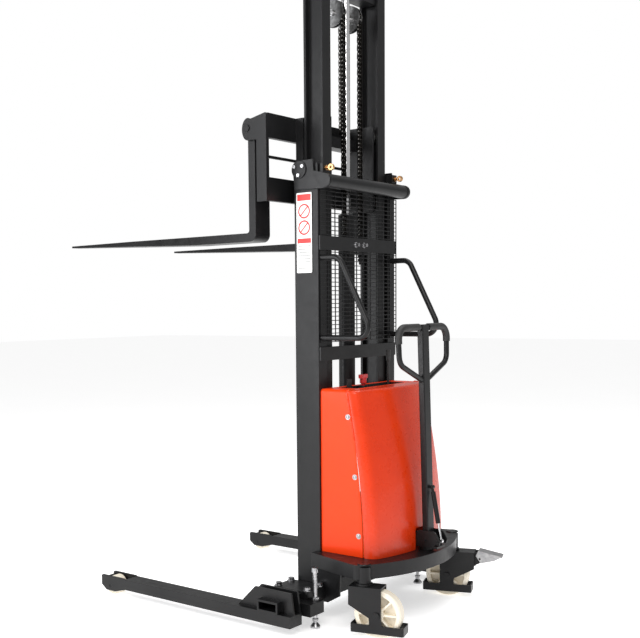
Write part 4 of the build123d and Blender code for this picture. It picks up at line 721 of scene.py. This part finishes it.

# ---------------------------------------------------------------- fasteners, labels
LABEL_WHITE = moulded(
    "label_white_vinyl", (0.78, 0.78, 0.77), (0.86, 0.86, 0.85), 0.35, 300.0, 0.03
)
LABEL_RED = moulded("label_red_ink", (0.56, 0.012, 0.01), (0.64, 0.018, 0.014), 0.35, 300.0, 0.03)
LABEL_GREY = moulded("label_grey_ink", (0.2, 0.2, 0.2), (0.3, 0.3, 0.3), 0.4, 300.0, 0.03)
WEB_X = -278.0
LABEL_Y = 112.0
RING_RADIUS = 25.0
LINE_WIDTHS = (58.0, 60.0, 50.0, 60.0, 56.0, 60.0, 44.0, 58.0)
LINE_TOP, LINE_STEP, LINE_HEIGHT = 1456.0, 12.0, 3.2
SCREW_HEIGHTS = (806.0, 578.0, 352.0)


def along_x(piece, edge):
    ends = [piece.data.vertices[i].co for i in edge.vertices]
    return abs(ends[0].x - ends[1].x) > 1e-5


def label_patch(name, finish, middle, size, lift, corner, turn=0.0):
    """A thin patch with rounded corners on the outer face of the left upright, in millimetres."""
    patch = begin(bpy.ops.mesh.primitive_cube_add, size=1.0)
    bpy.ops.transform.resize(
        value=(0.0008, size[0] / 1000, size[1] / 1000), center_override=(0, 0, 0)
    )
    pick(patch, lambda e: along_x(patch, e), "edges")
    bpy.ops.mesh.bevel(offset=corner / 1000, segments=4)
    bpy.ops.mesh.select_all(action="SELECT")
    if turn:
        bpy.ops.transform.rotate(value=turn, orient_axis="X", center_override=(0, 0, 0))
    bpy.ops.transform.translate(value=at(WEB_X - lift, *middle))
    return done(patch, name, finish, "chassis")


def label_ring(name, middle, radius):
    """A printed ring with a bar across it."""
    ring = begin(
        bpy.ops.mesh.primitive_torus_add,
        major_radius=radius / 1000,
        minor_radius=0.003,
        major_segments=40,
        minor_segments=8,
    )
    bpy.ops.transform.rotate(value=pi / 2, orient_axis="Y", center_override=(0, 0, 0))
    bpy.ops.transform.resize(value=(0.1, 1, 1), center_override=(0, 0, 0))
    bpy.ops.transform.translate(value=at(WEB_X - 0.7, *middle))
    done(ring, name, LABEL_RED, "chassis")
    label_patch(name + "_bar", LABEL_RED, middle, (radius * 2, 5.0), 0.6, 1.0, pi / 4)


def make_labels():
    label_patch("upright_label_small", LABEL_WHITE, (89.5, 1695.0), (45.0, 43.0), 0.2, 3.0)
    label_patch("upright_label_long", LABEL_WHITE, (LABEL_Y, 1506.0), (72.0, 304.0), 0.2, 4.0)
    label_patch("label_bar_top", LABEL_RED, (LABEL_Y, 1640.0), (64.0, 24.0), 0.5, 2.0)
    label_ring("label_ring_upper", (LABEL_Y, 1588.0), RING_RADIUS)
    label_ring("label_ring_lower", (LABEL_Y, 1526.0), RING_RADIUS)
    label_patch("label_bar_middle", LABEL_RED, (LABEL_Y, 1476.0), (64.0, 18.0), 0.5, 2.0)
    for k, width in enumerate(LINE_WIDTHS):
        middle = (LABEL_Y, LINE_TOP - LINE_STEP * k)
        label_patch(f"label_line_{k + 1}", LABEL_GREY, middle, (width, LINE_HEIGHT), 0.5, 0.8)


def pan_head_screw():
    """A pan head with a driver recess on a washer, modelled along +Z from the face under it."""
    screw = begin(
        bpy.ops.mesh.primitive_cylinder_add,
        vertices=36,
        radius=0.0105,
        depth=0.0016,
        location=(0, 0, 0.0008),
    )
    pick(screw, lambda f: f.normal.z > 0.9)
    bpy.ops.mesh.inset(thickness=0.0035)
    bpy.ops.mesh.extrude_region_move(TRANSFORM_OT_translate={"value": (0, 0, 0.0028)})
    bpy.ops.mesh.inset(thickness=0.0008)
    bpy.ops.transform.translate(value=(0, 0, 0.0008))
    bpy.ops.mesh.inset(thickness=0.0014)
    bpy.ops.transform.translate(value=(0, 0, 0.0004))
    bpy.ops.mesh.inset(thickness=0.0012)
    bpy.ops.mesh.extrude_region_move(TRANSFORM_OT_translate={"value": (0, 0, -0.0018)})
    bpy.ops.object.mode_set(mode="OBJECT")
    bpy.ops.object.select_all(action="DESELECT")
    screw.select_set(True)
    bpy.context.view_layer.objects.active = screw
    bpy.ops.object.transform_apply(location=True, rotation=True, scale=True)
    return screw


def make_cover_screws():
    model = pan_head_screw()
    places = [
        facing(at(sx * COVER_HALF, seam(z) + 17.0, z), (sx, 0, 0), 0.5 * k)
        for sx in (-1, 1)
        for k, z in enumerate(SCREW_HEIGHTS)
    ]
    copies("cover_screw_heads", model, places, ZINC, "chassis", ("cover_screws",))
    scrap(model)


make_labels()
make_cover_screws()
